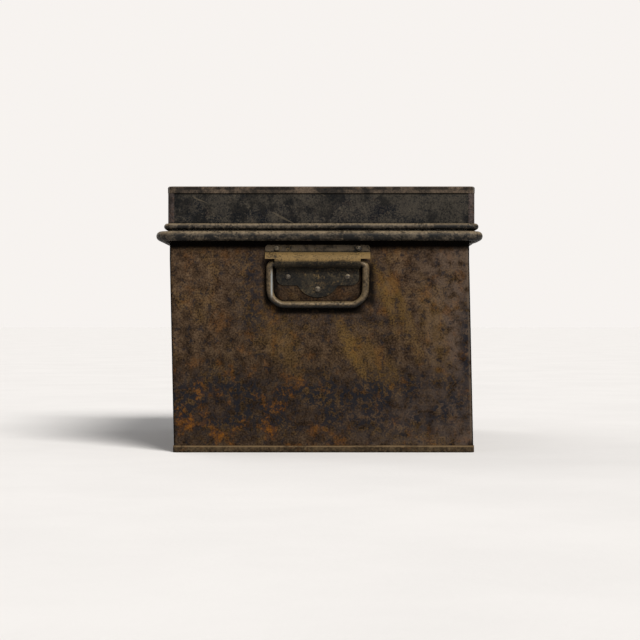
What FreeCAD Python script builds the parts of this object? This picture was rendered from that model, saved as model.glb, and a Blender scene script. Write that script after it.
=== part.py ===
import FreeCAD, Part
"""A sheet-steel deed box with a hinged lid, two drop handles and a box lock.

X runs across the end of the box, Y along its length and Z up. The origin is under the middle of the
rim bead. The lock is in the wall at -X, the hinges are at +X and the handles on the two ends.
Every size is a named cell of the sheet "Sizes" and every piece is bound to those cells.
"""
import math
import os
import re
from FreeCAD import Placement, Rotation, Vector
import Sketcher

SIZES = {
    # body
    "body_width": 298.0,
    "body_length": 400.0,
    "wall_top": 212.0,
    "body_corner": 4.0,
    "sheet": 1.0,
    "body_lean": 4.0,
    "neck_height": 20.0,
    "foot_top": 8.0,
    # base
    "base_floor": 1.0,
    "base_rim": 7.0,
    "base_sheet": 0.8,
    # rim of the body
    "rim_sheet": 1.0,
    "rim_leg": 14.0,
    "bead_radius": 5.0,
    "bead_sheet": 1.0,
    "bead_out": 8.4,
    "bead_lift": 2.7,
    "wire_fit": 0.05,
    "collar_sheet": 1.0,
    "collar_below": 17.0,
    "collar_above": 20.0,
    # lid
    "lid_over": 2.7,
    "lid_corner": 5.0,
    "lid_sheet": 0.9,
    "lid_shift": 1.8,
    "lid_gap": 12.1,
    "lid_height": 39.9,
    "lid_bead_radius": 3.25,
    "lid_bead_sheet": 0.8,
    "lid_bead_out": 1.45,
    "cap_depth": 7.0,
    "cap_sheet": 0.75,
    "cap_top": 1.0,
    "cap_edge": 1.8,
    "strip_width": 6.0,
    "strip_return": 12.0,
    "strip_sheet": 0.5,
    # hinges
    "hinge_place": 120.0,
    "hinge_width": 60.0,
    "hinge_end_gap": 1.0,
    "knuckle_radius": 4.5,
    "lid_knuckle": 28.0,
    "knuckle_gap": 0.5,
    "pin_radius": 2.5,
    "pin_fit": 0.05,
    "pin_head": 0.6,
    "pin_head_radius": 3.2,
    "leaf_sheet": 1.5,
    "leaf_drop": 18.0,
    "leaf_rise": 30.0,
    "leaf_clear": 5.3,
    # handle plate
    "handle_shift": -1.8,
    "plate_sheet": 1.0,
    "flange_half": 52.0,
    "flange_drop": 6.0,
    "flange_corner": 3.0,
    "hood_radius": 8.0,
    "hood_drop": 21.3,
    "hood_stand": 4.0,
    "notch_half": 42.4,
    "notch_lift": 1.2,
    "tongue_half": 41.1,
    "tongue_drop": 46.2,
    "tongue_corner": 8.0,
    "lobe_start": 21.5,
    "lobe_drop": 11.9,
    "lobe_hollow": 10.0,
    # bail
    "bail_wire": 3.5,
    "bail_half": 47.7,
    "bail_drop": 24.4,
    "bail_stand": 4.5,
    "bail_reach": 41.1,
    "bail_elbow": 5.0,
    "bail_corner": 14.0,
    "bail_tail": 30.0,
    # rivets
    "rivet_shank": 1.5,
    "rivet_head": 2.9,
    "rivet_dome": 1.4,
    "rivet_tail": 2.5,
    "rivet_tail_depth": 0.8,
    "rivet_fit": 0.05,
    "upper_rivet_half": 40.8,
    "upper_rivet_drop": 9.8,
    "lower_rivet_half": 29.7,
    "lower_rivet_drop": 37.9,
    "lobe_rivet_drop": 50.1,
    "hinge_rivet_half": 22.0,
    "hinge_rivet_drop": 10.0,
    "lid_rivet_rise": 24.0,
    # lock
    "lock_width": 60.0,
    "lock_height": 37.0,
    "lock_depth": 15.0,
    "lock_sheet": 1.2,
    "lock_below": 1.0,
    "lock_rivet_inset": 5.0,
    "lock_rivet_rise": 4.0,
    "bolt_thick": 3.8,
    "bolt_place": 6.2,
    "bolt_nose": 6.4,
    "bolt_tail": 11.0,
    "bolt_centre": 11.5,
    "bolt_length": 24.0,
    "tail_length": 16.0,
    "bolt_tip": 2.0,
    "bolt_fit": 0.3,
    "talon_width": 4.0,
    "talon_depth": 2.5,
    "rail_length": 16.0,
    "rail_lip": 1.2,
    "rail_cover": 2.0,
    "key_across": 15.0,
    "key_down": 25.0,
    "key_hole": 2.4,
    "key_slot": 2.2,
    "key_slot_length": 8.0,
    "key_post": 1.0,
    "ward_radius": 7.0,
    "ward_sheet": 0.8,
    "ward_depth": 4.0,
    "plate_oval_half": 7.0,
    "plate_oval_reach": 6.0,
    "plate_oval_drop": 2.0,
    "scutcheon_sheet": 0.8,
    "scutcheon_pin": 0.7,
    "scutcheon_pin_head": 1.4,
    "scutcheon_pin_dome": 0.7,
    "scutcheon_pin_reach": 10.0,
    # staple on the lid
    "staple_sheet": 1.6,
    "staple_half": 9.0,
    "staple_foot": 16.0,
    "staple_above": 4.4,
    "staple_rivet_half": 5.5,
    "tongue_thick": 3.0,
    "tongue_width": 8.0,
    "tongue_in": 4.1,
    "staple_drop": 38.0,
    "eye_drop": 36.2,
    "eye_height": 8.0,
    "eye_width": 5.6,
    "slot_play": 1.4,
}

DERIVED = {
    "neck_start": "wall_top - neck_height",
    "lid_width": "body_width + 2 * lid_over",
    "lid_length": "body_length + 2 * lid_over",
    "flange_top": "wall_top - flange_drop",
    "hood_centre": "wall_top - hood_drop",
    "tongue_edge": "wall_top - tongue_drop",
    "bail_axis": "wall_top - bail_drop",
    "upper_rivet_height": "wall_top - upper_rivet_drop",
    "lower_rivet_height": "wall_top - lower_rivet_drop",
    "lobe_rivet_height": "wall_top - lobe_rivet_drop",
    "tongue_low": "wall_top - staple_drop",
    "eye_low": "wall_top - eye_drop",
    "bead_x": "body_width / 2 + bead_out",
    "bead_z": "wall_top + bead_lift",
    "bead_width": "body_width + 2 * bead_out",
    "bead_length": "body_length + 2 * bead_out",
    "bead_corner": "body_corner + bead_out",
    "leg_width": "body_width - 2 * sheet",
    "leg_length": "body_length - 2 * sheet",
    "leg_corner": "body_corner - sheet",
    "collar_width": "leg_width - 2 * rim_sheet",
    "collar_length": "leg_length - 2 * rim_sheet",
    "collar_corner": "leg_corner - rim_sheet",
    "lid_bottom": "wall_top + lid_gap",
    "lid_top": "lid_bottom + lid_height",
    "lid_back": "lid_width / 2 + lid_shift",
    "lid_front": "lid_shift - lid_width / 2 + lid_sheet",
    "lid_bead_width": "lid_width + 2 * lid_bead_out",
    "lid_bead_length": "lid_length + 2 * lid_bead_out",
    "lid_bead_corner": "lid_corner + lid_bead_out",
    "end_face": "body_length / 2",
    "lobe_hollow_z": "tongue_edge - lobe_hollow",
    "lobe_low": "tongue_edge - lobe_drop",
    "lobe_side": "lobe_hollow_z - lobe_low",
    "lobe_radius": "(lobe_start ^ 2 + lobe_side ^ 2 - lobe_hollow ^ 2)"
                   " / (2 * lobe_hollow - 2 * lobe_side)",
    "lobe_centre": "lobe_low + lobe_radius",
    "lobe_join": "lobe_hollow_z + lobe_hollow * (lobe_centre - lobe_hollow_z)"
                 " / (lobe_radius + lobe_hollow)",
    "staple_z": "wall_top + collar_above + staple_above",
    "lock_x": "sheet - body_width / 2",
    "bolt_mid": "lock_below + bolt_centre",
    "lean_angle": "atan(body_lean / (neck_start - foot_top))",
}

doc = FreeCAD.newDocument("DeedBox")
sheet = doc.addObject("Spreadsheet::Sheet", "Sizes")
for row, (alias, value) in enumerate(SIZES.items(), start=1):
    sheet.set(f"A{row}", alias)
    sheet.set(f"B{row}", str(value))
    sheet.setAlias(f"B{row}", alias)
doc.recompute()

NODES = []


def ex(text):
    """Turn a formula in plain names into one that reads the sheet."""
    def swap(match):
        word = match.group(0)
        if word in DERIVED:
            return f"({ex(DERIVED[word])})"
        return f"Sizes.{word}" if word in SIZES else word

    return re.sub(r"[a-z_]+", swap, text)


def number(text):
    """Value of a formula now, for the first shape of a sketch."""
    return float(sheet.evalExpression(ex(text)))


def bind(item, **formulas):
    """Bind properties to formulas; a double underscore stands for a dot."""
    for key, text in formulas.items():
        item.setExpression(key.replace("__", "."), ex(text))
    return item


def place(item, x="0", y="0", z="0", axis=(0, 0, 1), angle=0.0):
    """Put an item at a formula place, turned about an axis."""
    item.Placement = Placement(Vector(), Rotation(Vector(*axis), angle))
    return bind(item, Placement__Base__x=x, Placement__Base__y=y, Placement__Base__z=z)


def node(item, label):
    """Name a finished piece and keep it for the export."""
    item.Label = label
    NODES.append(item)
    return item


def block(name, x, y, z):
    """A box between two formula ends along each axis."""
    item = doc.addObject("Part::Box", name)
    bind(item, Length=f"({x[1]}) - ({x[0]})", Width=f"({y[1]}) - ({y[0]})")
    bind(item, Height=f"({z[1]}) - ({z[0]})")
    return place(item, x[0], y[0], z[0])


TURNS = {"x": ((0, 1, 0), 90.0), "y": ((1, 0, 0), -90.0), "z": ((0, 0, 1), 0.0)}


def rod(name, along, radius, length, x="0", y="0", z="0"):
    """A round bar that starts at a point and runs along a main axis."""
    item = doc.addObject("Part::Cylinder", name)
    bind(item, Radius=radius, Height=length)
    return place(item, x, y, z, *TURNS[along])


def quarter_ring(name, bend, radius, x, y, z, start):
    """A quarter bend of round bar in an upright XZ plane, from an angle up from +X."""
    item = doc.addObject("Part::Torus", name)
    bind(item, Radius1=bend, Radius2=radius)
    item.Angle3 = 90
    place(item, x, y, z)
    upright = Rotation(Vector(1, 0, 0), 90)
    item.Placement = Placement(item.Placement.Base, upright * Rotation(Vector(0, 0, 1), start))
    return item


def fuse(name, *items):
    """Join overlapping items into one solid."""
    item = doc.addObject("Part::MultiFuse", name)
    item.Shapes = list(items)
    item.Refine = True
    return item


def cut(name, base, *tools):
    """Take the tools away from the base."""
    item = doc.addObject("Part::Cut", name)
    item.Base = base
    item.Tool = tools[0] if len(tools) == 1 else fuse(f"{name}_tools", *tools)
    item.Refine = True
    return item


def drill(name, base, holes):
    """Take holes that stand clear of each other away from the base."""
    item = doc.addObject("Part::Cut", name)
    item.Base = base
    item.Tool = bundle(f"{name}_holes", *holes)
    return item


def overlap(name, first, second):
    """Keep what two items share."""
    item = doc.addObject("Part::Common", name)
    item.Base = first
    item.Tool = second
    return item


def bundle(name, *items):
    """Separate solids that share one node."""
    item = doc.addObject("Part::Compound", name)
    item.Links = list(items)
    return item


def copy_of(source, x="0", y="0", z="0", axis=(0, 0, 1), angle=0.0):
    """A linked copy of an item at another place."""
    item = doc.addObject("App::Link", f"{source.Name}_copy")
    item.LinkedObject = source
    item.LinkTransform = False
    return place(item, x, y, z, axis, angle)


def mirrored(source, label):
    """The same piece on the other end of the box."""
    item = doc.addObject("Part::Mirroring", label)
    item.Source = source
    item.Normal = Vector(0, 1, 0)
    return node(item, label)


def in_lock_frame(item):
    """Lean a piece drawn against the wall with the wall under the neck."""
    item.Placement = Placement(Vector(), Rotation(Vector(0, -1, 0), 1.0))
    bind(item, Placement__Rotation__Angle="lean_angle")
    return bind(item, Placement__Base__x="lock_x", Placement__Base__z="neck_start")


def plane_sketch(body, name, role):
    """A sketch on one of the body's own main planes."""
    item = body.newObject("Sketcher::SketchObject", name)
    plane = [f for f in body.Origin.OriginFeatures if f.Role == role][0]
    item.AttachmentSupport = (plane, [""])
    item.MapMode = "FlatFace"
    return item


def dimension(sketch, kind, *parts, text):
    """Add a named size to a sketch and bind it."""
    count = sketch.addConstraint(Sketcher.Constraint(kind, *parts, number(text)))
    sketch.renameConstraint(count, f"size_{count}")
    sketch.setExpression(f"Constraints.size_{count}", ex(text))


def rounded_sketch(body, name, width, length, corner, z, x="0"):
    """A rounded rectangle round the Z axis at a height."""
    sketch = plane_sketch(body, name, "XY_Plane")
    bind(sketch, AttachmentOffset__Base__x=x, AttachmentOffset__Base__z=z)
    a, b, r = number(width) / 2, number(length) / 2, number(corner)
    sides = [
        ((-a + r, -b), (a - r, -b)),
        ((a, -b + r), (a, b - r)),
        ((a - r, b), (-a + r, b)),
        ((-a, b - r), (-a, -b + r)),
    ]
    for start, end in sides:
        sketch.addGeometry(Part.LineSegment(Vector(*start, 0), Vector(*end, 0)), False)
    centres = [(a - r, -b + r), (a - r, b - r), (-a + r, b - r), (-a + r, -b + r)]
    for turn, centre in enumerate(centres):
        circle = Part.Circle(Vector(*centre, 0), Vector(0, 0, 1), r)
        start = math.radians(90 * turn - 90)
        sketch.addGeometry(Part.ArcOfCircle(circle, start, start + math.pi / 2), False)
    for side in range(4):
        sketch.addConstraint(Sketcher.Constraint("Tangent", side, 2, 4 + side, 1))
        sketch.addConstraint(Sketcher.Constraint("Tangent", 4 + side, 2, (side + 1) % 4, 1))
        flat = "Horizontal" if side % 2 == 0 else "Vertical"
        sketch.addConstraint(Sketcher.Constraint(flat, side))
    for side in range(1, 4):
        sketch.addConstraint(Sketcher.Constraint("Equal", 4, 4 + side))
    sketch.addConstraint(Sketcher.Constraint("Symmetric", 4, 3, 6, 3, -1, 1))
    dimension(sketch, "Radius", 4, text=corner)
    dimension(sketch, "DistanceX", 3, 1, 1, 1, text=width)
    dimension(sketch, "DistanceY", 0, 1, 2, 2, text=length)
    return sketch


def rounded_block(name, width, length, corner, bottom, height, x="0"):
    """An upright block with a rounded rectangle for its plan."""
    body = doc.addObject("PartDesign::Body", name)
    pad = body.newObject("PartDesign::Pad", f"{name}_pad")
    pad.Profile = rounded_sketch(body, f"{name}_plan", width, length, corner, bottom, x)
    bind(pad, Length=height)
    return body


def rolled_ring(name, radius, width, length, corner, z, x="0"):
    """A round bar bent into a closed rounded rectangle."""
    body = doc.addObject("PartDesign::Body", name)
    spine = rounded_sketch(body, f"{name}_path", width, length, corner, z, x)
    profile = plane_sketch(body, f"{name}_section", "XZ_Plane")
    middle = Vector(number(f"{width} / 2 + {x}"), number(z), 0)
    profile.addGeometry(Part.Circle(middle, Vector(0, 0, 1), number(radius)), False)
    dimension(profile, "Radius", 0, text=radius)
    dimension(profile, "DistanceX", -1, 1, 0, 3, text=f"{width} / 2 + {x}")
    dimension(profile, "DistanceY", -1, 1, 0, 3, text=z)
    pipe = body.newObject("PartDesign::AdditivePipe", f"{name}_pipe")
    pipe.Profile = profile
    pipe.Spine = spine
    return body


def rivet(name, grip, shank="rivet_shank", head="rivet_head", dome="rivet_dome", tail=True):
    """A domed rivet along Z with its head above zero and its tail set under the grip."""
    cap = doc.addObject("Part::Sphere", f"{name}_dome")
    ball = f"({head}) ^ 2 / (2 * {dome}) + {dome} / 2"
    bind(cap, Radius=ball, Angle1=f"asin(1 - {dome} / ({ball}))")
    place(cap, z=f"{dome} - ({ball})")
    items = [cap, rod(f"{name}_shank", "z", shank, f"{grip} + {dome} / 2", z=f"-({grip})")]
    if tail:
        depth = "rivet_tail_depth"
        items.append(rod(f"{name}_tail", "z", "rivet_tail", depth, z=f"-({grip}) - {depth}"))
    return fuse(name, *items)


def body_form(name, inset):
    """The body's full form from foot to rim, set in by an amount all round."""
    plan = (f"body_width - 2 * ({inset})", f"body_length - 2 * ({inset})",
            f"body_corner - ({inset})")
    foot = rounded_block(f"{name}_foot", *plan, "base_floor", "foot_top - base_floor",
                         "body_lean")
    neck = rounded_block(f"{name}_neck", *plan, "neck_start", "wall_top - neck_start")
    lean = doc.addObject("PartDesign::Body", f"{name}_lean")
    pad = lean.newObject("PartDesign::Pad", f"{name}_lean_pad")
    pad.Profile = rounded_sketch(lean, f"{name}_lean_plan", *plan, "foot_top", "body_lean")
    pad.UseCustomVector = True
    pad.Direction = Vector(0, 0, 1)
    pad.AlongSketchNormal = True
    bind(pad, Direction__x="-body_lean", Direction__z="neck_start - foot_top")
    bind(pad, Length="neck_start - foot_top")
    return fuse(name, foot, lean, neck)


# Places of the rivets, used for the rivets and for their holes.
HANDLE_UPPER = [
    ("handle_shift - upper_rivet_half", "upper_rivet_height"),
    ("handle_shift + upper_rivet_half", "upper_rivet_height"),
]
HANDLE_LOWER = [
    ("handle_shift - lower_rivet_half", "lower_rivet_height"),
    ("handle_shift + lower_rivet_half", "lower_rivet_height"),
    ("handle_shift", "lobe_rivet_height"),
]
HINGE_CENTRES = ["hinge_place", "-hinge_place"]
HINGE_RIVETS = [
    f"{centre} {sign} hinge_rivet_half" for centre in HINGE_CENTRES for sign in ("+", "-")
]
LOCK_RIVETS = [
    ("lock_rivet_inset - lock_width / 2", "lock_rivet_rise - lock_below - lock_height"),
    ("lock_width / 2 - lock_rivet_inset", "lock_rivet_rise - lock_below - lock_height"),
    ("lock_width / 2 - lock_rivet_inset", "-lock_below - lock_rivet_inset"),
]
STAPLE_RIVETS = ["staple_rivet_half", "-staple_rivet_half"]


def handle_holes(name, places):
    """Holes for rivets that go through both ends of the box."""
    reach = "2 * end_face + 40"
    holes = []
    for count, (x, z) in enumerate(places):
        radius = "rivet_shank + rivet_fit"
        holes.append(rod(f"{name}_{count}", "y", radius, reach, x, f"-({reach}) / 2", z))
    return holes


def hinge_holes(name, z):
    """Holes for the rivets through the back."""
    holes = []
    for count, y in enumerate(HINGE_RIVETS):
        radius = "rivet_shank + rivet_fit"
        holes.append(rod(f"{name}_{count}", "x", radius, "30", "body_width / 2 - 10", y, z))
    return holes


BODY_HINGE_Z = "wall_top - hinge_rivet_drop"
LID_HINGE_Z = "bead_z + lid_rivet_rise"


def make_shell():
    """Body wall in one sheet, with its rivet holes and the keyhole."""
    bare = cut("shell_bare", body_form("shell_outer", "0"), body_form("shell_inner", "sheet"))
    holes = handle_holes("shell_handle_upper", HANDLE_UPPER)
    holes += handle_holes("shell_handle_lower", HANDLE_LOWER)
    holes += hinge_holes("shell_hinge", BODY_HINGE_Z)
    lock_holes = in_lock_frame(bundle("shell_lock_holes", *lock_wall_holes()))
    node(cut("body_shell", drill("shell_riveted", bare, holes), lock_holes), "body_shell")


def make_base():
    """Base pan turned up outside the wall."""
    over = "2 * base_sheet"
    outer = rounded_block("pan_outer", f"body_width + {over}", f"body_length + {over}",
                          "body_corner + base_sheet", "0", "base_rim", "body_lean")
    inner = rounded_block("pan_inner", "body_width", "body_length", "body_corner",
                          "base_floor", "base_rim", "body_lean")
    node(cut("base_pan", outer, inner), "base_pan")


def hinge_gaps(name, x, z, side_gap):
    """Boxes that take the bead away where the hinges stand."""
    half = f"(hinge_width / 2 + {side_gap})"
    gaps = []
    for count, y in enumerate(HINGE_CENTRES):
        gaps.append(block(f"{name}_{count}", x, (f"{y} - {half}", f"{y} + {half}"), z))
    return gaps


def make_rim():
    """Rim moulding with its rolled bead, the wire in it and the dust collar."""
    leg_outer = rounded_block("leg_outer", "leg_width", "leg_length", "leg_corner",
                              "wall_top - rim_leg", "rim_leg")
    flange = rounded_block("rim_flange", "bead_width", "bead_length", "bead_corner",
                           "wall_top", "rim_sheet")
    roll = rolled_ring("rim_roll", "bead_radius", "bead_width", "bead_length", "bead_corner",
                       "bead_z")
    leg_inner = rounded_block("leg_inner", "collar_width", "collar_length", "collar_corner",
                              "wall_top - rim_leg - 5", "rim_leg + 20")
    hollow = rolled_ring("rim_hollow", "bead_radius - bead_sheet", "bead_width", "bead_length",
                         "bead_corner", "bead_z")
    gaps = hinge_gaps("rim_gap", ("body_width / 2", "bead_x + 20"),
                      ("wall_top - 12", "wall_top + 12"), "hinge_end_gap")
    bare = cut("rim_bare", fuse("rim_joined", leg_outer, flange, roll), leg_inner, hollow)
    holes = handle_holes("rim_handle", HANDLE_UPPER) + hinge_holes("rim_hinge", BODY_HINGE_Z)
    node(drill("rim_moulding", bare, gaps + holes), "rim_moulding")

    wire = rolled_ring("rim_wire_full", "bead_radius - bead_sheet - wire_fit", "bead_width",
                       "bead_length", "bead_corner", "bead_z")
    node(drill("rim_wire", wire, gaps), "rim_wire")

    low = "wall_top - collar_below"
    high = "collar_below + collar_above"
    collar_outer = rounded_block("collar_outer", "collar_width", "collar_length",
                                 "collar_corner", low, high)
    collar_inner = rounded_block("collar_inner", "collar_width - 2 * collar_sheet",
                                 "collar_length - 2 * collar_sheet",
                                 "collar_corner - collar_sheet", f"{low} - 5", f"{high} + 10")
    holes = handle_holes("collar_handle", HANDLE_UPPER)
    holes += hinge_holes("collar_hinge", BODY_HINGE_Z)
    node(drill("dust_collar", cut("collar_bare", collar_outer, collar_inner), holes),
         "dust_collar")


def make_lid():
    """Lid wall with its wired edge, the wire, the corner strips and the cap."""
    wall = rounded_block("lid_outer", "lid_width", "lid_length", "lid_corner", "lid_bottom",
                         "lid_height - cap_top", "lid_shift")
    inner = rounded_block("lid_inner", "lid_width - 2 * lid_sheet",
                          "lid_length - 2 * lid_sheet", "lid_corner - lid_sheet",
                          "lid_bottom - 10", "lid_height + 20", "lid_shift")
    roll = rolled_ring("lid_roll", "lid_bead_radius", "lid_bead_width", "lid_bead_length",
                       "lid_bead_corner", "lid_bottom", "lid_shift")
    hollow = rolled_ring("lid_hollow", "lid_bead_radius - lid_bead_sheet", "lid_bead_width",
                         "lid_bead_length", "lid_bead_corner", "lid_bottom", "lid_shift")
    gaps = hinge_gaps("lid_gap_box", ("lid_back - lid_sheet - 3", "lid_back + 20"),
                      ("lid_bottom - lid_bead_radius - 1", "lid_bottom + lid_bead_radius"),
                      "hinge_end_gap")
    ring = cut("lid_ring", fuse("lid_joined", cut("lid_bare", wall, inner), roll), hollow)
    staple_holes = [
        rod(f"lid_staple_hole_{count}", "x", "rivet_shank + rivet_fit", "10",
            "lid_front - 5", y, "staple_z + staple_sheet + staple_foot / 2")
        for count, y in enumerate(STAPLE_RIVETS)
    ]
    holes = staple_holes + hinge_holes("lid_hinge", LID_HINGE_Z)
    node(drill("lid_wall", ring, gaps + holes), "lid_wall")

    wire = rolled_ring("lid_wire_full", "lid_bead_radius - lid_bead_sheet - wire_fit",
                       "lid_bead_width", "lid_bead_length", "lid_bead_corner", "lid_bottom",
                       "lid_shift")
    node(drill("lid_wire", wire, gaps), "lid_wire")

    low = "lid_bottom + lid_bead_radius"
    high = "lid_top - cap_depth"
    over = "2 * strip_sheet"
    band = cut("strip_band",
               rounded_block("strip_outer", f"lid_width + {over}", f"lid_length + {over}",
                             "lid_corner + strip_sheet", low, f"{high} - ({low})", "lid_shift"),
               rounded_block("strip_inner", "lid_width", "lid_length", "lid_corner",
                             f"{low} - 5", "lid_height", "lid_shift"))
    corners = []
    for x_sign in ("-", "+"):
        for y_sign in ("-", "+"):
            x_edge = f"lid_shift {x_sign} (lid_width / 2 - strip_width)"
            y_edge = f"0 {y_sign} (lid_length / 2 - strip_return)"
            x_far = f"lid_shift {x_sign} (lid_width / 2 + 5)"
            y_far = f"0 {y_sign} (lid_length / 2 + 5)"
            x = (x_edge, x_far) if x_sign == "+" else (x_far, x_edge)
            y = (y_edge, y_far) if y_sign == "+" else (y_far, y_edge)
            corners.append(block(f"strip_box_{len(corners)}", x, y, (f"{low} - 1", f"{high} + 1")))
    node(overlap("lid_corner_strips", band, bundle("strip_boxes", *corners)),
         "lid_corner_strips")

    over = "2 * cap_sheet"
    cap = doc.addObject("PartDesign::Body", "cap")
    pad = cap.newObject("PartDesign::Pad", "cap_pad")
    pad.Profile = rounded_sketch(cap, "cap_plan", f"lid_width + {over}", f"lid_length + {over}",
                                 "lid_corner + cap_sheet", high, "lid_shift")
    bind(pad, Length="cap_depth")
    doc.recompute()
    top = number("lid_top")
    edges = [
        f"Edge{count}" for count, edge in enumerate(pad.Shape.Edges, start=1)
        if all(abs(corner.Z - top) < 1e-6 for corner in edge.Vertexes)
    ]
    round_over = cap.newObject("PartDesign::Fillet", "cap_round")
    round_over.Base = (pad, edges)
    bind(round_over, Radius="cap_edge")
    inside = rounded_block("cap_inside", "lid_width", "lid_length", "lid_corner",
                           f"{high} - 1", "cap_depth - cap_top + 1", "lid_shift")
    node(cut("lid_cap", cap, inside), "lid_cap")


def make_handles():
    """Handle plates, their rivets and the bails."""
    def out(amount):
        return f"-end_face - ({amount})"

    x = ("handle_shift - 60", "handle_shift + 60")
    long = "120"
    slab = block("handle_slab", x, (out("plate_sheet"), out("0")), ("lobe_low - 1", "flange_top"))
    height = ("hood_centre - hood_radius", "hood_centre + hood_radius")
    neck = block("hood_neck", x, (out("hood_stand"), out("0")), height)
    barrel = rod("hood_barrel", "x", "hood_radius", long, x[0], out("hood_stand"), "hood_centre")
    bore = "hood_radius - plate_sheet"
    inner_height = (f"hood_centre - ({bore})", f"hood_centre + {bore}")
    neck_hollow = block("hood_neck_hollow", x, (out("hood_stand"), out("-1")), inner_height)
    barrel_hollow = rod("hood_bore", "x", bore, long, x[0], out("hood_stand"), "hood_centre")
    pressed = cut("handle_pressed", fuse("handle_joined", slab, neck, barrel), neck_hollow,
                  barrel_hollow)

    def across(half):
        return (f"handle_shift - ({half})", f"handle_shift + {half}")

    deep = (out("hood_stand + hood_radius + 2"), out("0"))
    run = "hood_stand + hood_radius + 2"
    notch = "hood_centre + notch_lift"
    bend = "tongue_edge + tongue_corner"
    outline = [
        block("outline_flange", across("flange_half"), deep,
              (notch, "flange_top - flange_corner")),
        block("outline_top", across("flange_half - flange_corner"), deep,
              (notch, "flange_top")),
        block("outline_neck", across("notch_half"), deep,
              ("hood_centre - hood_radius", "flange_top - flange_corner")),
        block("outline_tongue", across("tongue_half"), deep, (bend, "hood_centre")),
        block("outline_edge", across("tongue_half - tongue_corner"), deep,
              ("tongue_edge", "hood_centre")),
        rod("outline_lobe", "y", "lobe_radius", run, "handle_shift", deep[0], "lobe_centre"),
    ]
    for name, sign in (("left", "-"), ("right", "+")):
        top_x = f"handle_shift {sign} (flange_half - flange_corner)"
        low_x = f"handle_shift {sign} (tongue_half - tongue_corner)"
        outline.append(rod(f"outline_top_{name}", "y", "flange_corner", run, top_x, deep[0],
                           "flange_top - flange_corner"))
        outline.append(rod(f"outline_low_{name}", "y", "tongue_corner", run, low_x, deep[0],
                           bend))
    web = cut("outline_web",
              block("outline_web_block", across("lobe_start"), deep,
                    ("lobe_join", "tongue_edge + 1")),
              *[rod(f"outline_hollow_{name}", "y", "lobe_hollow", f"{run} + 2",
                    f"handle_shift {sign} lobe_start", f"{deep[0]} - 1", "lobe_hollow_z")
                for name, sign in (("left", "-"), ("right", "+"))])
    shape = fuse("handle_outline", web, *outline)
    holes = handle_holes("plate_upper", HANDLE_UPPER)
    holes += handle_holes("plate_lower", HANDLE_LOWER)
    plate = drill("handle_plate_near", overlap("handle_trimmed", pressed, shape), holes)
    node(plate, "handle_plate_near")
    mirrored(plate, "handle_plate_far")

    upper = rivet("handle_rivet_long", "plate_sheet + sheet + rim_sheet + collar_sheet")
    lower = rivet("handle_rivet_short", "plate_sheet + sheet")
    rivets = [copy_of(upper, px, out("plate_sheet"), pz, (1, 0, 0), 90) for px, pz in HANDLE_UPPER]
    rivets += [copy_of(lower, px, out("plate_sheet"), pz, (1, 0, 0), 90) for px, pz in HANDLE_LOWER]
    near = node(bundle("handle_rivets_near", *rivets), "handle_rivets_near")
    mirrored(near, "handle_rivets_far")

    depth = out("bail_stand")
    low = "bail_axis - bail_reach"
    bars = [rod("bail_bar", "x", "bail_wire", "2 * (bail_half - bail_corner)",
                "handle_shift - (bail_half - bail_corner)", depth, low)]
    for name, sign in (("left", "-"), ("right", "+")):
        side = f"handle_shift {sign} bail_half"
        start = "bail_tail" if sign == "+" else "(bail_half - bail_elbow)"
        bars.append(rod(f"bail_tail_{name}", "x", "bail_wire", "bail_half - bail_elbow - bail_tail",
                        f"handle_shift {sign} {start}", depth, "bail_axis"))
        bars.append(rod(f"bail_leg_{name}", "z", "bail_wire",
                        "bail_reach - bail_elbow - bail_corner", side, depth,
                        f"{low} + bail_corner"))
        bars.append(quarter_ring(f"bail_elbow_{name}", "bail_elbow", "bail_wire",
                                 f"handle_shift {sign} (bail_half - bail_elbow)", depth,
                                 "bail_axis - bail_elbow", 0.0 if sign == "+" else 90.0))
        bars.append(quarter_ring(f"bail_corner_{name}", "bail_corner", "bail_wire",
                                 f"handle_shift {sign} (bail_half - bail_corner)", depth,
                                 f"{low} + bail_corner", 270.0 if sign == "+" else 180.0))
    bail = fuse("bail_near", *bars)
    node(bail, "bail_near")
    mirrored(bail, "bail_far")


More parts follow.
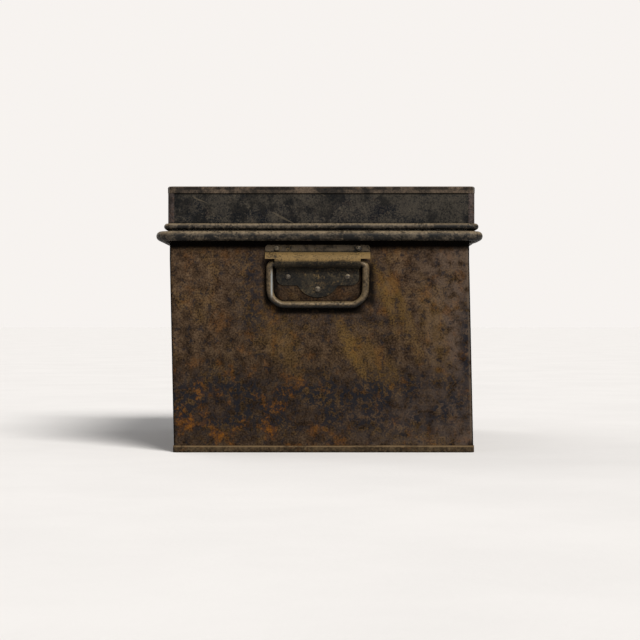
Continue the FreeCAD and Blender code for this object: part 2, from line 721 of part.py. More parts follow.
def make_hinges():
    """Two butt hinges on the line of the rim bead."""
    half = "hinge_width / 2"
    inner = "(lid_knuckle / 2 + knuckle_gap)"
    wide = (f"-{half}", half)
    low = "bead_z - knuckle_radius"
    bore = rod("hinge_bore", "y", "pin_radius + pin_fit", "hinge_width + 10", "bead_x",
               f"-{half} - 5", "bead_z")
    items = [block("body_leaf_sheet", ("body_width / 2", "body_width / 2 + leaf_sheet"), wide,
                   ("wall_top - leaf_drop", f"{low} + leaf_sheet"))]
    for name, y in (("a", (f"-{half}", f"-{inner}")), ("b", (inner, half))):
        items.append(block(f"body_arm_{name}", ("body_width / 2", "bead_x"), y,
                           (low, f"{low} + leaf_sheet")))
        items.append(rod(f"body_knuckle_{name}", "y", "knuckle_radius",
                         f"{half} - {inner}", "bead_x", y[0], "bead_z"))
    leaf_holes = [
        rod(f"body_leaf_hole_{count}", "x", "rivet_shank + rivet_fit", "20",
            "body_width / 2 - 10", y, BODY_HINGE_Z)
        for count, y in enumerate(("hinge_rivet_half", "-hinge_rivet_half"))
    ]
    body_leaf = cut("body_leaf", fuse("body_leaf_joined", *items), bore, *leaf_holes)

    back = ("lid_back", "lid_back + leaf_sheet")
    middle = ("-lid_knuckle / 2", "lid_knuckle / 2")
    lid_items = [
        block("lid_leaf_sheet", back, wide, ("bead_z + leaf_clear", "bead_z + leaf_rise")),
        block("lid_leaf_neck", back, middle, ("bead_z", "bead_z + leaf_clear + 1")),
        rod("lid_leaf_knuckle", "y", "knuckle_radius", "lid_knuckle", "bead_x", middle[0],
            "bead_z"),
    ]
    lid_holes = [
        rod(f"lid_leaf_hole_{count}", "x", "rivet_shank + rivet_fit", "20",
            "lid_back - 10", y, LID_HINGE_Z)
        for count, y in enumerate(("hinge_rivet_half", "-hinge_rivet_half"))
    ]
    lid_leaf = cut("lid_leaf", fuse("lid_leaf_joined", *lid_items), bore, *lid_holes)

    pin = fuse("hinge_pin",
               rod("pin_bar", "y", "pin_radius", "hinge_width", "bead_x", f"-{half}", "bead_z"),
               rod("pin_end_a", "y", "pin_head_radius", "pin_head", "bead_x",
                   f"-{half} - pin_head", "bead_z"),
               rod("pin_end_b", "y", "pin_head_radius", "pin_head", "bead_x", half, "bead_z"))
    for source, label in ((body_leaf, "hinge_leaves_body"), (lid_leaf, "hinge_leaves_lid"),
                          (pin, "hinge_pins")):
        node(bundle(label, *[copy_of(source, y=y) for y in HINGE_CENTRES]), label)

    body_rivet = rivet("hinge_rivet_body", "leaf_sheet + sheet + rim_sheet + collar_sheet")
    lid_rivet = rivet("hinge_rivet_lid", "leaf_sheet + lid_sheet")
    node(bundle("hinge_rivets_body", *[
        copy_of(body_rivet, "body_width / 2 + leaf_sheet", y, BODY_HINGE_Z, (0, 1, 0), 90)
        for y in HINGE_RIVETS]), "hinge_rivets_body")
    node(bundle("hinge_rivets_lid", *[
        copy_of(lid_rivet, "lid_back + leaf_sheet", y, LID_HINGE_Z, (0, 1, 0), 90)
        for y in HINGE_RIVETS]), "hinge_rivets_lid")


def keyhole(name, start, length):
    """Round hole and slot for the key, drawn against the wall."""
    return [
        rod(f"{name}_round", "x", "key_hole", length, start, "-key_across", "-key_down"),
        block(f"{name}_slot", (start, f"{start} + {length}"),
              ("-key_across - key_slot / 2", "-key_across + key_slot / 2"),
              ("-key_down - key_slot_length", "-key_down")),
    ]


def lock_wall_holes():
    """Keyhole, lock rivet holes and escutcheon pin holes through the wall."""
    tools = [fuse("wall_keyhole", *keyhole("wall_key", "-5", "10"))]
    for count, (y, z) in enumerate(LOCK_RIVETS):
        tools.append(rod(f"wall_lock_hole_{count}", "x", "rivet_shank + rivet_fit", "10", "-5", y, z))
    for count, sign in enumerate(("-", "+")):
        tools.append(rod(f"wall_pin_hole_{count}", "x", "scutcheon_pin + rivet_fit", "10", "-5",
                         "-key_across",
                         f"-key_down - plate_oval_drop {sign} scutcheon_pin_reach"))
    return tools


def make_lock():
    """Box lock behind the front wall, drawn against the wall and leaned with it."""
    def leaned(label, *items):
        node(in_lock_frame(bundle(label, *items)), label)

    half = "lock_width / 2"
    low = "-lock_below - lock_height"
    inside = "lock_sheet"
    case = cut("case_box",
               block("case_block", ("0", "lock_depth"), (f"-{half}", half), (low, "-lock_below")),
               block("case_hollow", (inside, "lock_depth + 5"),
                     (f"{inside} - {half}", f"{half} - {inside}"),
                     (f"{low} + {inside}", f"-lock_below - {inside}")),
               block("case_slot",
                     ("tongue_in - slot_play", "tongue_in + tongue_width + slot_play"),
                     ("-tongue_thick / 2 - slot_play", "tongue_thick / 2 + slot_play"),
                     ("-lock_below - 5", "5")),
               *keyhole("case_key", "-5", "10"),
               *[rod(f"case_hole_{count}", "x", "rivet_shank + rivet_fit", "10", "-5", y, z)
                 for count, (y, z) in enumerate(LOCK_RIVETS)])
    leaned("lock_case", case)
    leaned("lock_cover", block("lock_cover_plate", ("lock_depth", "lock_depth + lock_sheet"),
                               (f"-{half}", half), (low, "-lock_below")))

    bolt_u = ("bolt_place", "bolt_place + bolt_thick")
    tail_end = "-bolt_tip - bolt_length"
    tail_z = ("-bolt_mid - bolt_tail / 2", "-bolt_mid + bolt_tail / 2")
    bolt = cut("bolt_plate",
               fuse("bolt_joined",
                    block("bolt_nose_bar", bolt_u, (tail_end, "-bolt_tip"),
                          ("-bolt_mid - bolt_nose / 2", "-bolt_mid + bolt_nose / 2")),
                    block("bolt_tail_plate", bolt_u, (tail_end, f"{tail_end} + tail_length"),
                          tail_z)),
               block("bolt_talon", ("bolt_place - 1", "bolt_place + bolt_thick + 1"),
                     ("-key_across - talon_width / 2", "-key_across + talon_width / 2"),
                     (f"{tail_z[0]} - 1", f"{tail_z[0]} + talon_depth")))
    leaned("lock_bolt", bolt)

    rails = []
    rail_y = (f"{tail_end} - 2", f"{tail_end} - 2 + rail_length")
    for name, edge, sign, y in (("upper", tail_z[1], "+", rail_y),
                                ("lower", tail_z[0], "-", (rail_y[0], f"{rail_y[0]} + 8"))):
        back, grip = f"{edge} {sign} (bolt_fit + rail_cover)", f"{edge} {sign} (-rail_cover)"
        gap = f"{edge} {sign} bolt_fit"
        height = (grip, back) if sign == "+" else (back, grip)
        groove = (f"{grip} - 1", gap) if sign == "+" else (gap, f"{grip} + 1")
        rails.append(cut(f"rail_{name}",
                         block(f"rail_{name}_block",
                               (inside, "bolt_place + bolt_thick + bolt_fit + rail_lip"), y,
                               height),
                         block(f"rail_{name}_groove",
                               ("bolt_place - bolt_fit", "bolt_place + bolt_thick + bolt_fit"),
                               (f"{y[0]} - 1", f"{y[1]} + 1"), groove)))
    leaned("bolt_rails", *rails)

    leaned("key_post", rod("key_post_bar", "x", "key_post", "lock_depth - 2", "2", "-key_across",
                           "-key_down"))
    ward = cut("ward_ring",
               rod("ward_outer", "x", "ward_radius", "ward_depth", inside, "-key_across",
                   "-key_down"),
               rod("ward_inner", "x", "ward_radius - ward_sheet", "20", "-5", "-key_across",
                   "-key_down"),
               block("ward_trim", ("-5", "15"), ("-key_across - 20", "-key_across + 20"),
                     ("-key_down", "-key_down + 20")),
               block("ward_gate", ("-5", "15"), ("-key_across - 3", "-key_across + 3"),
                     ("-key_down - 20", "-key_down")))
    leaned("key_wards", ward)

    lock_rivet = rivet("lock_rivet", "sheet + lock_sheet")
    leaned("lock_rivets", *[
        copy_of(lock_rivet, "-sheet", y, z, (0, 1, 0), -90) for y, z in LOCK_RIVETS])

    face = ("-sheet - scutcheon_sheet", "-sheet")
    centre = "-key_down - plate_oval_drop"
    oval = [block("oval_bar", face, ("-key_across - plate_oval_half", "-key_across + plate_oval_half"),
                  (f"{centre} - plate_oval_reach", f"{centre} + plate_oval_reach"))]
    for count, sign in enumerate(("-", "+")):
        oval.append(rod(f"oval_end_{count}", "x", "plate_oval_half", "scutcheon_sheet", face[0],
                        "-key_across", f"{centre} {sign} plate_oval_reach"))
    pin_holes = [
        rod(f"oval_pin_hole_{count}", "x", "scutcheon_pin + rivet_fit", "5", "-5",
            "-key_across", f"{centre} {sign} scutcheon_pin_reach")
        for count, sign in enumerate(("-", "+"))
    ]
    leaned("escutcheon", cut("oval_plate", fuse("oval", *oval),
                             *keyhole("oval_key", "-5", "5"), *pin_holes))
    pin = rivet("scutcheon_pin_one", "sheet + scutcheon_sheet", "scutcheon_pin",
                "scutcheon_pin_head", "scutcheon_pin_dome", tail=False)
    leaned("escutcheon_pins", *[
        copy_of(pin, face[0], "-key_across", f"{centre} {sign} scutcheon_pin_reach", (0, 1, 0), -90)
        for sign in ("-", "+")])


def make_staple():
    """Staple inside the lid that drops over the collar into the lock."""
    wide = ("-staple_half", "staple_half")
    tongue_x = ("lock_x + tongue_in", "lock_x + tongue_in + tongue_width")
    eye_mid = "lock_x + tongue_in + tongue_width / 2"
    foot_z = ("staple_z", "staple_z + staple_sheet + staple_foot")
    joined = fuse("staple_joined",
                  block("staple_leg", ("lid_front", "lid_front + staple_sheet"), wide, foot_z),
                  block("staple_shelf", ("lid_front", tongue_x[1]), wide,
                        ("staple_z", "staple_z + staple_sheet")),
                  block("staple_tongue", tongue_x, ("-tongue_thick / 2", "tongue_thick / 2"),
                        ("tongue_low", "staple_z + staple_sheet")))
    eye = block("staple_eye", (f"{eye_mid} - eye_width / 2", f"{eye_mid} + eye_width / 2"),
                ("-tongue_thick", "tongue_thick"), ("eye_low", "eye_low + eye_height"))
    rivet_z = "staple_z + staple_sheet + staple_foot / 2"
    holes = [
        rod(f"staple_hole_{count}", "x", "rivet_shank + rivet_fit", "20", "lid_front - 5", y,
            rivet_z)
        for count, y in enumerate(STAPLE_RIVETS)
    ]
    node(cut("lid_staple", joined, eye, *holes), "lid_staple")
    one = rivet("staple_rivet", "lid_sheet + staple_sheet")
    node(bundle("staple_rivets", *[
        copy_of(one, "lid_front - lid_sheet", y, rivet_z, (0, 1, 0), -90)
        for y in STAPLE_RIVETS]), "staple_rivets")


make_shell()
make_base()
make_rim()
make_lid()
make_handles()
make_hinges()
make_lock()
make_staple()
doc.recompute()

bad = [item.Name for item in doc.Objects if {"Invalid", "Error"} & set(item.State)]
for item in NODES:
    if item.Shape.isNull() or not item.Shape.isValid() or not item.Shape.Solids:
        bad.append(item.Label)
if bad:
    raise RuntimeError(f"not sound: {bad}")

os.makedirs("parts", exist_ok=True)
for item in NODES:
    item.Shape.exportStep(f"parts/{item.Label}.step")
    box = item.Shape.BoundBox
    print(f"{item.Label}: {len(item.Shape.Solids)} solids, volume {item.Shape.Volume:.0f},",
          f"x {box.XMin:.1f} {box.XMax:.1f}, y {box.YMin:.1f} {box.YMax:.1f},",
          f"z {box.ZMin:.1f} {box.ZMax:.1f}")
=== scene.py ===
"""A worn sheet-steel deed box: detailed pieces, aged finishes, floor, light and camera.

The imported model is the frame. Its nodes either stay and take a finish, or are replaced by a
smoother piece of the same size that rides on the same body. All lengths are in metres.
"""
import logging
import math
from dataclasses import dataclass, field
from enum import Enum
from typing import Callable, Sequence

import bmesh
import bpy
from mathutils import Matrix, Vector


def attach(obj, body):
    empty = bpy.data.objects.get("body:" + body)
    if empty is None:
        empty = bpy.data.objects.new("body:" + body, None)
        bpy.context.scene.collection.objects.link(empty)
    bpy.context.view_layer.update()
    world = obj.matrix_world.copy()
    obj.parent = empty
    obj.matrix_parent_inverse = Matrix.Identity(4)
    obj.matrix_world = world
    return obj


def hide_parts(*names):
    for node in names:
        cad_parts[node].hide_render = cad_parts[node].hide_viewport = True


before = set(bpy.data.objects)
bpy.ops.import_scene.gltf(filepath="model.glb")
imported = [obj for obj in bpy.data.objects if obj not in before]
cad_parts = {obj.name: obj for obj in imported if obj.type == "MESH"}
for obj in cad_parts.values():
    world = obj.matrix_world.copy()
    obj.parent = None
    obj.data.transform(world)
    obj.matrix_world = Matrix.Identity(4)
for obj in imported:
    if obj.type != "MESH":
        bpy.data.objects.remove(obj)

LOG = logging.getLogger("deed_box")
MM = 0.001
HINGE_NEAR, HINGE_FAR = 89.0 * MM, 151.0 * MM
SHARP = math.radians(35.0)

Socket = bpy.types.NodeSocket
Colour = tuple[float, float, float]
Value = Socket | float | int | Sequence[float]
Span = tuple[float, float]
PlanPoint = tuple[float, float, float, float]
Section = list[tuple[float, float]]
Ring = list[bmesh.types.BMVert]


class Body(Enum):
    """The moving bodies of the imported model."""

    BOX = "box"
    LID = "lid"
    BAIL_NEAR = "bail_near"
    BAIL_FAR = "bail_far"
    BOLT = "bolt"


class End(Enum):
    """Which end of the box a handle is on, as the sign of its Y."""

    NEAR = -1.0
    FAR = 1.0


# ---------------------------------------------------------------------------
# Finishes
# ---------------------------------------------------------------------------


class Graph:
    """Lays and links the nodes of one material."""

    def __init__(self, name: str) -> None:
        """Start an empty material.

        Args:
            name: Name of the material.
        """
        self.material = bpy.data.materials.new(name)
        self.material.use_nodes = True
        self.tree = self.material.node_tree
        self.tree.nodes.clear()
        own = self.node("ShaderNodeTexCoord")
        self.place, self.facing = own.outputs["Object"], own.outputs["Normal"]

    def node(self, kind: str, inputs: dict[str | int, Value] | None = None,
             **settings: object) -> bpy.types.Node:
        """Add a node.

        Args:
            kind: Blender's type name for the node.
            inputs: Values or sockets for its inputs.
            settings: Properties of the node.

        Returns:
            The new node.
        """
        item = self.tree.nodes.new(kind)
        for key, value in settings.items():
            setattr(item, key, value)
        for key, value in (inputs or {}).items():
            self.put(item.inputs[key], value)
        return item

    def put(self, socket: Socket, value: Value) -> None:
        """Link a socket or set its constant."""
        if isinstance(value, bpy.types.NodeSocket):
            self.tree.links.new(value, socket)
        elif isinstance(value, (tuple, list)) and socket.type == "RGBA":
            socket.default_value = (*value[:3], 1.0)
        else:
            socket.default_value = value

    def math(self, operation: str, first: Value, second: Value = 0.0,
             clamp: bool = False) -> Socket:
        """One Math node."""
        item = self.node("ShaderNodeMath", {0: first, 1: second}, operation=operation,
                         use_clamp=clamp)
        return item.outputs[0]

    def chain(self, operation: str, values: Sequence[Value]) -> Socket:
        """One operation run over several values in turn."""
        result = values[0]
        for value in values[1:]:
            result = self.math(operation, result, value)
        return result

    def times(self, *values: Value) -> Socket:
        """Product of several values."""
        return self.chain("MULTIPLY", values)

    def plus(self, *values: Value) -> Socket:
        """Sum of several values."""
        return self.chain("ADD", values)

    def most(self, *values: Value) -> Socket:
        """Greatest of several values."""
        return self.chain("MAXIMUM", values)

    def less(self, value: Value, taken: Value) -> Socket:
        """One value less another."""
        return self.math("SUBTRACT", value, taken)

    def unsigned(self, value: Value) -> Socket:
        """A value without its sign."""
        return self.math("ABSOLUTE", value)

    def below(self, value: Value, limit: Value) -> Socket:
        """One where a value is under a limit."""
        return self.math("LESS_THAN", value, limit)

    def blend(self, first: Value, share: float, second: Value, other: float) -> Socket:
        """Sum of two values, each times its share."""
        return self.plus(self.times(first, share), self.times(second, other))

    def raised(self, base: float, value: Value, share: float) -> Socket:
        """A base with a share of a value on top."""
        return self.plus(base, self.times(value, share))

    def axes(self, vector: Socket | None = None) -> tuple[Socket, Socket, Socket]:
        """The three parts of a vector, or of the place on the object."""
        item = self.node("ShaderNodeSeparateXYZ", {0: vector or self.place})
        return item.outputs[0], item.outputs[1], item.outputs[2]

    def upward(self) -> Socket:
        """How far the surface faces up, from -1 to 1."""
        return self.axes(self.facing)[2]

    def streaks(self, scale: Sequence[float], lean: float) -> Socket:
        """The place, leant about Y by some degrees and then stretched."""
        leant = self.node("ShaderNodeMapping", {
            "Vector": self.place, "Rotation": (0.0, math.radians(lean), 0.0)})
        item = self.node("ShaderNodeMapping", {"Vector": leant.outputs[0], "Scale": scale})
        return item.outputs[0]

    def noise(self, scale: float, detail: float = 5.0, rough: float = 0.55,
              bend: float = 0.0, place: Socket | None = None) -> Socket:
        """Noise between about 0.25 and 0.75."""
        item = self.node("ShaderNodeTexNoise", {
            "Vector": place or self.place, "Scale": scale, "Detail": detail,
            "Roughness": rough, "Distortion": bend})
        return item.outputs[0]

    def step(self, value: Value, low: float, high: float) -> Socket:
        """A smooth step from 0 at low to 1 at high; low may be above high."""
        item = self.node("ShaderNodeMapRange", {
            "Value": value, "From Min": low, "From Max": high}, interpolation_type="SMOOTHSTEP")
        return item.outputs[0]

    def window(self, value: Value, span: Span, soft: float) -> Socket:
        """One between two limits and zero outside, with soft edges."""
        low, high = span
        return self.times(self.step(value, low - soft, low + soft),
                          self.step(value, high + soft, high - soft))

    def ramp(self, value: Value, *stops: tuple[float, Colour]) -> Socket:
        """A colour ramp."""
        item = self.node("ShaderNodeValToRGB", {0: value})
        bar = item.color_ramp
        while len(bar.elements) < len(stops):
            bar.elements.new(0.5)
        for element, (position, colour) in zip(bar.elements, stops):
            element.position = position
            element.color = (*colour, 1.0)
        return item.outputs[0]

    def mix(self, amount: Value, under: Value, over: Value) -> Socket:
        """One colour laid over another."""
        item = self.node("ShaderNodeMix", {0: amount, 6: under, 7: over}, data_type="RGBA")
        return item.outputs[2]

    def scaled(self, colour: Value, factor: Value) -> Socket:
        """A colour made lighter or darker by a factor."""
        item = self.node("ShaderNodeVectorMath", {0: colour, "Scale": factor},
                         operation="SCALE")
        return item.outputs[0]

    def shade_in_creases(self, reach: float) -> Socket:
        """Painted shade where other surfaces stand close by, partly dirt gathered there."""
        item = self.node("ShaderNodeAmbientOcclusion", {"Distance": reach}, samples=8)
        return self.step(item.outputs["AO"], 0.86, 0.34)

    def finish(self, colour: Value, roughness: Value, metal: Value, height: Value,
               depth: float, specular: float = 0.5) -> bpy.types.Material:
        """Close the material with a Principled shader and a bump.

        Args:
            colour: Base colour.
            roughness: Roughness.
            metal: How metallic the surface is.
            height: Height of the relief, 0 to 1.
            depth: Depth of the relief in metres.
            specular: Specular level.

        Returns:
            The material.
        """
        bump = self.node("ShaderNodeBump", {"Height": height, "Distance": depth})
        shader = self.node("ShaderNodeBsdfPrincipled", {
            "Base Color": colour, "Roughness": roughness, "Metallic": metal,
            "Normal": bump.outputs[0]})
        shader.inputs["Specular IOR Level"].default_value = specular
        self.node("ShaderNodeOutputMaterial", {"Surface": shader.outputs[0]})
        return self.material


RUST: Colour = (0.085, 0.033, 0.008)
BLOT: Colour = (0.0045, 0.0046, 0.0048)
# Colour of painted shade on faces that turn down.
UNDERSIDE_SHADE: Colour = (0.0035, 0.0026, 0.0018)
# Colour of painted shade in creases, partly dirt.
CREASE_SHADE_COLOUR: Colour = (0.0014, 0.0010, 0.0008)


@dataclass(frozen=True)
class TinInside:
    """Dull tinned steel with grey bloom and small rust spots."""

    name: str = "tin_inside"
    clean: Colour = (0.20, 0.19, 0.17)
    dull: Colour = (0.122, 0.112, 0.095)
    rust: Colour = (0.085, 0.040, 0.016)

    def colour(self, graph: Graph) -> Socket:
        """Colour of the tinned surface."""
        bloom = graph.noise(38.0, 6.0, 0.6)
        grain = graph.noise(420.0, 4.0, 0.6)
        tin = graph.mix(graph.step(bloom, 0.30, 0.72), self.dull, self.clean)
        spots = graph.step(graph.blend(grain, 0.45, bloom, 0.55), 0.55, 0.60)
        return graph.mix(graph.times(spots, 0.8), tin, self.rust)

    def build(self) -> bpy.types.Material:
        """Build the material."""
        graph = Graph(self.name)
        height = graph.noise(160.0, 4.0)
        rough = graph.raised(0.35, height, 0.35)
        return graph.finish(self.colour(graph), rough, 0.55, height, 0.2 * MM)


@dataclass(frozen=True)
class Wipe:
    """A long soft mark on the end of the box, leaning from upper left to lower right."""

    x: float
    z: float
    length: float
    width: float
    lean: float
    strength: float

    def mask(self, graph: Graph, x: Socket, z: Socket, ragged: Socket) -> Socket:
        """Strength of the mark at a place.

        Args:
            graph: The material's graph.
            x: Place along X.
            z: Place along Z.
            ragged: Noise that breaks up the outline.

        Returns:
            The mask.
        """
        side, down = math.cos(math.radians(self.lean)), math.sin(math.radians(self.lean))
        dx, dz = graph.less(x, self.x), graph.less(z, self.z)
        across = graph.blend(dx, side / self.width, dz, down / self.width)
        along = graph.blend(dx, down / self.length, dz, -side / self.length)
        far = graph.plus(graph.times(across, across), graph.times(along, along),
                         graph.times(graph.less(0.5, ragged), 4.6))
        return graph.times(graph.step(far, 1.3, -0.2), self.strength)


class PatinaGrain:
    """Places and noises that the layers of the body's patina share."""

    def __init__(self, graph: Graph) -> None:
        """Lay the shared nodes.

        Args:
            graph: The material's graph.
        """
        self.x, self.y, self.z = graph.axes()
        self.fine = graph.noise(560.0, 3.0, 0.62)
        self.mid = graph.noise(95.0, 5.0, 0.62)
        self.big = graph.noise(17.0, 3.0, 0.5)
        self.web = graph.noise(190.0, 6.0, 0.64, 0.15)
        self.grain = graph.blend(self.fine, 0.48, self.mid, 0.52)


@dataclass(frozen=True)
class BodyPatina:
    """Brown japanned paint gone to rust, ochre wipes, dark blotches and pits."""

    name: str = "body_patina"
    deep: Colour = (0.0098, 0.0062, 0.0040)
    brown: Colour = (0.0340, 0.0208, 0.0122)
    warm: Colour = (0.0760, 0.0490, 0.0285)
    ochre: Colour = (0.1180, 0.0680, 0.0190)
    orange: Colour = (0.1350, 0.0510, 0.0080)
    ink: Colour = (0.0072, 0.0086, 0.0122)
    dusk: Colour = (0.0680, 0.0490, 0.0380)
    # Colour of the painted highlight on the corner bends on the right.
    edge: Colour = (0.0750, 0.0560, 0.0400)
    # Colour of painted shade on the corner bends, and of dirt and painted shadow by the bail.
    grime_and_shade: Colour = (0.0022, 0.0020, 0.0018)
    # Colour of painted shadow under the rim and painted shade in creases.
    painted_shade: Colour = (0.0012, 0.0009, 0.0007)
    lean: float = 4.0 * MM
    neck: float = 192.0 * MM
    foot: float = 8.0 * MM
    # Heights of the painted shadow band under the rim bead.
    rim_shadow_band: Span = (199.0 * MM, 205.5 * MM)
    low_band: Span = (20.0 * MM, 78.0 * MM)
    handle_z: Span = (118.0 * MM, 204.0 * MM)
    handle_x: Span = (-90.0 * MM, 90.0 * MM)
    left_of_handle: Span = (-85.0 * MM, -50.0 * MM)
    right_of_handle: Span = (46.0 * MM, 62.0 * MM)
    under_bail: Span = (118.0 * MM, 142.0 * MM)
    pitted_x: Span = (134.0 * MM, 146.0 * MM)
    pitted_z: Span = (60.0 * MM, 150.0 * MM)
    # Spans of the dirt and painted shadow by the bail's legs and under its bar.
    legs_x: Span = (40.0 * MM, 55.0 * MM)
    legs_z: Span = (146.0 * MM, 188.0 * MM)
    bar_x: Span = (-44.0 * MM, 44.0 * MM)
    bar_z: Span = (137.5 * MM, 146.0 * MM)
    film_x: Span = (-40.0 * MM, 40.0 * MM)
    film_z: Span = (150.0 * MM, 186.0 * MM)
    wipes: tuple[Wipe, ...] = (
        Wipe(66 * MM, 151 * MM, 50 * MM, 8 * MM, 19.0, 1.0),
        Wipe(33 * MM, 101 * MM, 42 * MM, 8 * MM, 27.0, 1.0),
        Wipe(84 * MM, 138 * MM, 58 * MM, 9 * MM, 20.0, 0.75),
        Wipe(60 * MM, 84 * MM, 40 * MM, 15 * MM, 34.0, 0.60),
        Wipe(112 * MM, 122 * MM, 60 * MM, 13 * MM, 14.0, 0.45),
        Wipe(-44 * MM, 118 * MM, 60 * MM, 20 * MM, 38.0, 0.45),
    )

    def ground(self, graph: Graph, base: PatinaGrain) -> Socket:
        """Mottled brown paint, lighter towards the top and duller on the right."""
        colour = graph.ramp(base.grain, (0.39, self.deep), (0.50, self.brown),
                            (0.62, self.warm))
        tone = graph.raised(0.50, base.big, 0.55)
        tone = graph.plus(tone, graph.times(graph.step(base.z, 20 * MM, 200 * MM), 0.42))
        right = graph.times(graph.step(base.x, 75 * MM, 140 * MM), 0.75)
        low_right = graph.times(graph.step(base.x, -10 * MM, 100 * MM),
                                graph.step(base.z, 90 * MM, 20 * MM), 0.6)
        dusk = graph.times(graph.most(right, low_right), graph.step(base.mid, 0.34, 0.62))
        return graph.mix(dusk, graph.scaled(colour, tone),
                         graph.scaled(self.dusk, graph.raised(0.35, base.fine, 1.3)))

    def wiped(self, graph: Graph, base: PatinaGrain, colour: Socket) -> Socket:
        """The colour under ochre wipes and small ochre patches."""
        streak = graph.noise(1.0, 5.0, 0.65, 0.2, graph.streaks((60.0, 60.0, 17.0), 22.0))
        ragged = graph.blend(base.fine, 0.3, streak, 0.7)
        marks = graph.most(*[wipe.mask(graph, base.x, base.z, ragged) for wipe in self.wipes])
        patches = graph.times(graph.step(graph.noise(30.0, 5.0, 0.62), 0.49, 0.64),
                              graph.step(base.fine, 0.38, 0.60), 0.45)
        ochre = graph.most(graph.times(marks, graph.step(base.fine, 0.22, 0.60)), patches)
        return graph.mix(graph.times(ochre, 0.66), colour, self.ochre)

    def rusted(self, graph: Graph, base: PatinaGrain, colour: Socket) -> Socket:
        """The colour under orange rust, thickest low on the left."""
        near_foot = graph.step(base.z, 125 * MM, 15 * MM)
        to_left = graph.step(base.x, 75 * MM, -100 * MM)
        share = graph.plus(0.30, graph.times(near_foot, to_left, 0.8))
        rust = graph.step(graph.noise(52.0, 6.0, 0.66, 0.3), 0.515, 0.66)
        rust = graph.times(rust, share, graph.step(base.fine, 0.20, 0.60), 0.85)
        return graph.mix(rust, colour, self.orange)

    def blotches(self, graph: Graph, base: PatinaGrain) -> Socket:
        """Where the paint is black: a low band, beside the handle, loose spots and pits."""
        clump = graph.raised(0.45, graph.step(graph.noise(30.0, 3.0, 0.5), 0.38, 0.56), 0.8)
        low = graph.math("MINIMUM", graph.times(
            graph.step(base.web, 0.450, 0.550),
            graph.window(base.z, self.low_band, 24.0 * MM), clump), 1.0)
        beside = graph.most(
            graph.window(base.x, self.left_of_handle, 22.0 * MM),
            graph.times(graph.window(base.x, self.right_of_handle, 15.0 * MM), 0.8),
            graph.times(graph.window(base.z, self.under_bail, 12.0 * MM), 0.6))
        by_handle = graph.times(graph.step(base.web, 0.45, 0.56), beside,
                                graph.window(base.z, self.handle_z, 16.0 * MM),
                                graph.window(base.x, self.handle_x, 20.0 * MM))
        loose = graph.times(graph.step(graph.noise(150.0, 6.0, 0.68), 0.52, 0.64), 0.8)
        pits = graph.times(graph.step(base.web, 0.44, 0.50),
                           graph.step(base.x, *self.pitted_x),
                           graph.window(base.z, self.pitted_z, 30.0 * MM))
        return graph.most(low, by_handle, loose, pits)

    def bail_grime_and_shadow(self, graph: Graph, base: PatinaGrain) -> Socket:
        """Dirt and painted shadow by the bail's legs and under its bar, and a film between."""
        x, z = base.x, base.z
        legs = graph.times(graph.window(graph.unsigned(x), self.legs_x, 3.0 * MM),
                           graph.window(z, self.legs_z, 5.0 * MM), 0.88)
        bar = graph.times(graph.window(z, self.bar_z, 2.0 * MM),
                          graph.window(x, self.bar_x, 6.0 * MM), 0.92)
        film = graph.times(graph.window(z, self.film_z, 8.0 * MM),
                           graph.window(x, self.film_x, 8.0 * MM), 0.36)
        broken = graph.step(base.mid, 0.26, 0.50)
        return graph.most(graph.times(graph.most(legs, bar), broken), film)

    def lit_and_shaded_corners(self, graph: Graph, base: PatinaGrain, colour: Socket) -> Socket:
        """The colour with a painted highlight on the corner bends on the right, painted shade on
        the bends, painted shadow under the rim, and painted shade in creases, partly dirt.
        """
        out_x, out_y, _ = graph.axes(graph.facing)
        turn = graph.unsigned(out_y)
        # Painted highlight along the corner bends on the right.
        arris = graph.times(graph.window(turn, (0.72, 0.975), 0.02),
                            graph.step(graph.unsigned(out_x), 0.05, 0.12),
                            graph.step(base.x, 0.0, 20 * MM))
        colour = graph.mix(graph.times(arris, graph.step(base.mid, 0.30, 0.55), 0.6), colour,
                           self.edge)
        # Painted shade on the corner bends.
        colour = graph.mix(graph.times(graph.window(turn, (0.04, 0.72), 0.04), 0.92), colour,
                           self.grime_and_shade)
        # Painted shadow under the rim, and painted shade in creases, partly dirt.
        painted_shade = graph.most(graph.times(graph.step(base.z, *self.rim_shadow_band), 0.97),
                          graph.times(graph.shade_in_creases(9.0 * MM), 0.9))
        return graph.mix(painted_shade, colour, self.painted_shade)

    def indoors(self, graph: Graph, base: PatinaGrain) -> Socket:
        """Where the wall faces the middle of the leaning box."""
        slope = graph.math("MULTIPLY", graph.less(self.neck, base.z),
                           self.lean / (self.neck - self.foot), clamp=True)
        slope = graph.math("MINIMUM", slope, self.lean)
        out_x, out_y, _ = graph.axes(graph.facing)
        away = graph.plus(graph.times(out_x, graph.less(base.x, slope)),
                          graph.times(out_y, base.y))
        return graph.below(away, -2.0 * MM)

    def build(self) -> bpy.types.Material:
        """Build the material."""
        graph = Graph(self.name)
        base = PatinaGrain(graph)
        colour = self.wiped(graph, base, self.ground(graph, base))
        colour = self.rusted(graph, base, colour)
        dark = self.blotches(graph, base)
        colour = graph.mix(graph.times(dark, 0.86), colour, self.ink)
        # Dirt and painted shadow by the bail.
        colour = graph.mix(self.bail_grime_and_shadow(graph, base), colour, self.grime_and_shade)
        colour = self.lit_and_shaded_corners(graph, base, colour)
        colour = graph.mix(self.indoors(graph, base), colour, TinInside().colour(graph))
        rough = graph.less(graph.raised(0.52, base.grain, 0.42), graph.times(dark, 0.18))
        relief = graph.less(base.grain, graph.times(dark, 0.14))
        dents = graph.plus(graph.times(base.big, 3.2), graph.noise(6.5, 2.0, 0.4))
        return graph.finish(colour, rough, 0.0, graph.plus(relief, dents), 0.9 * MM, 0.012)


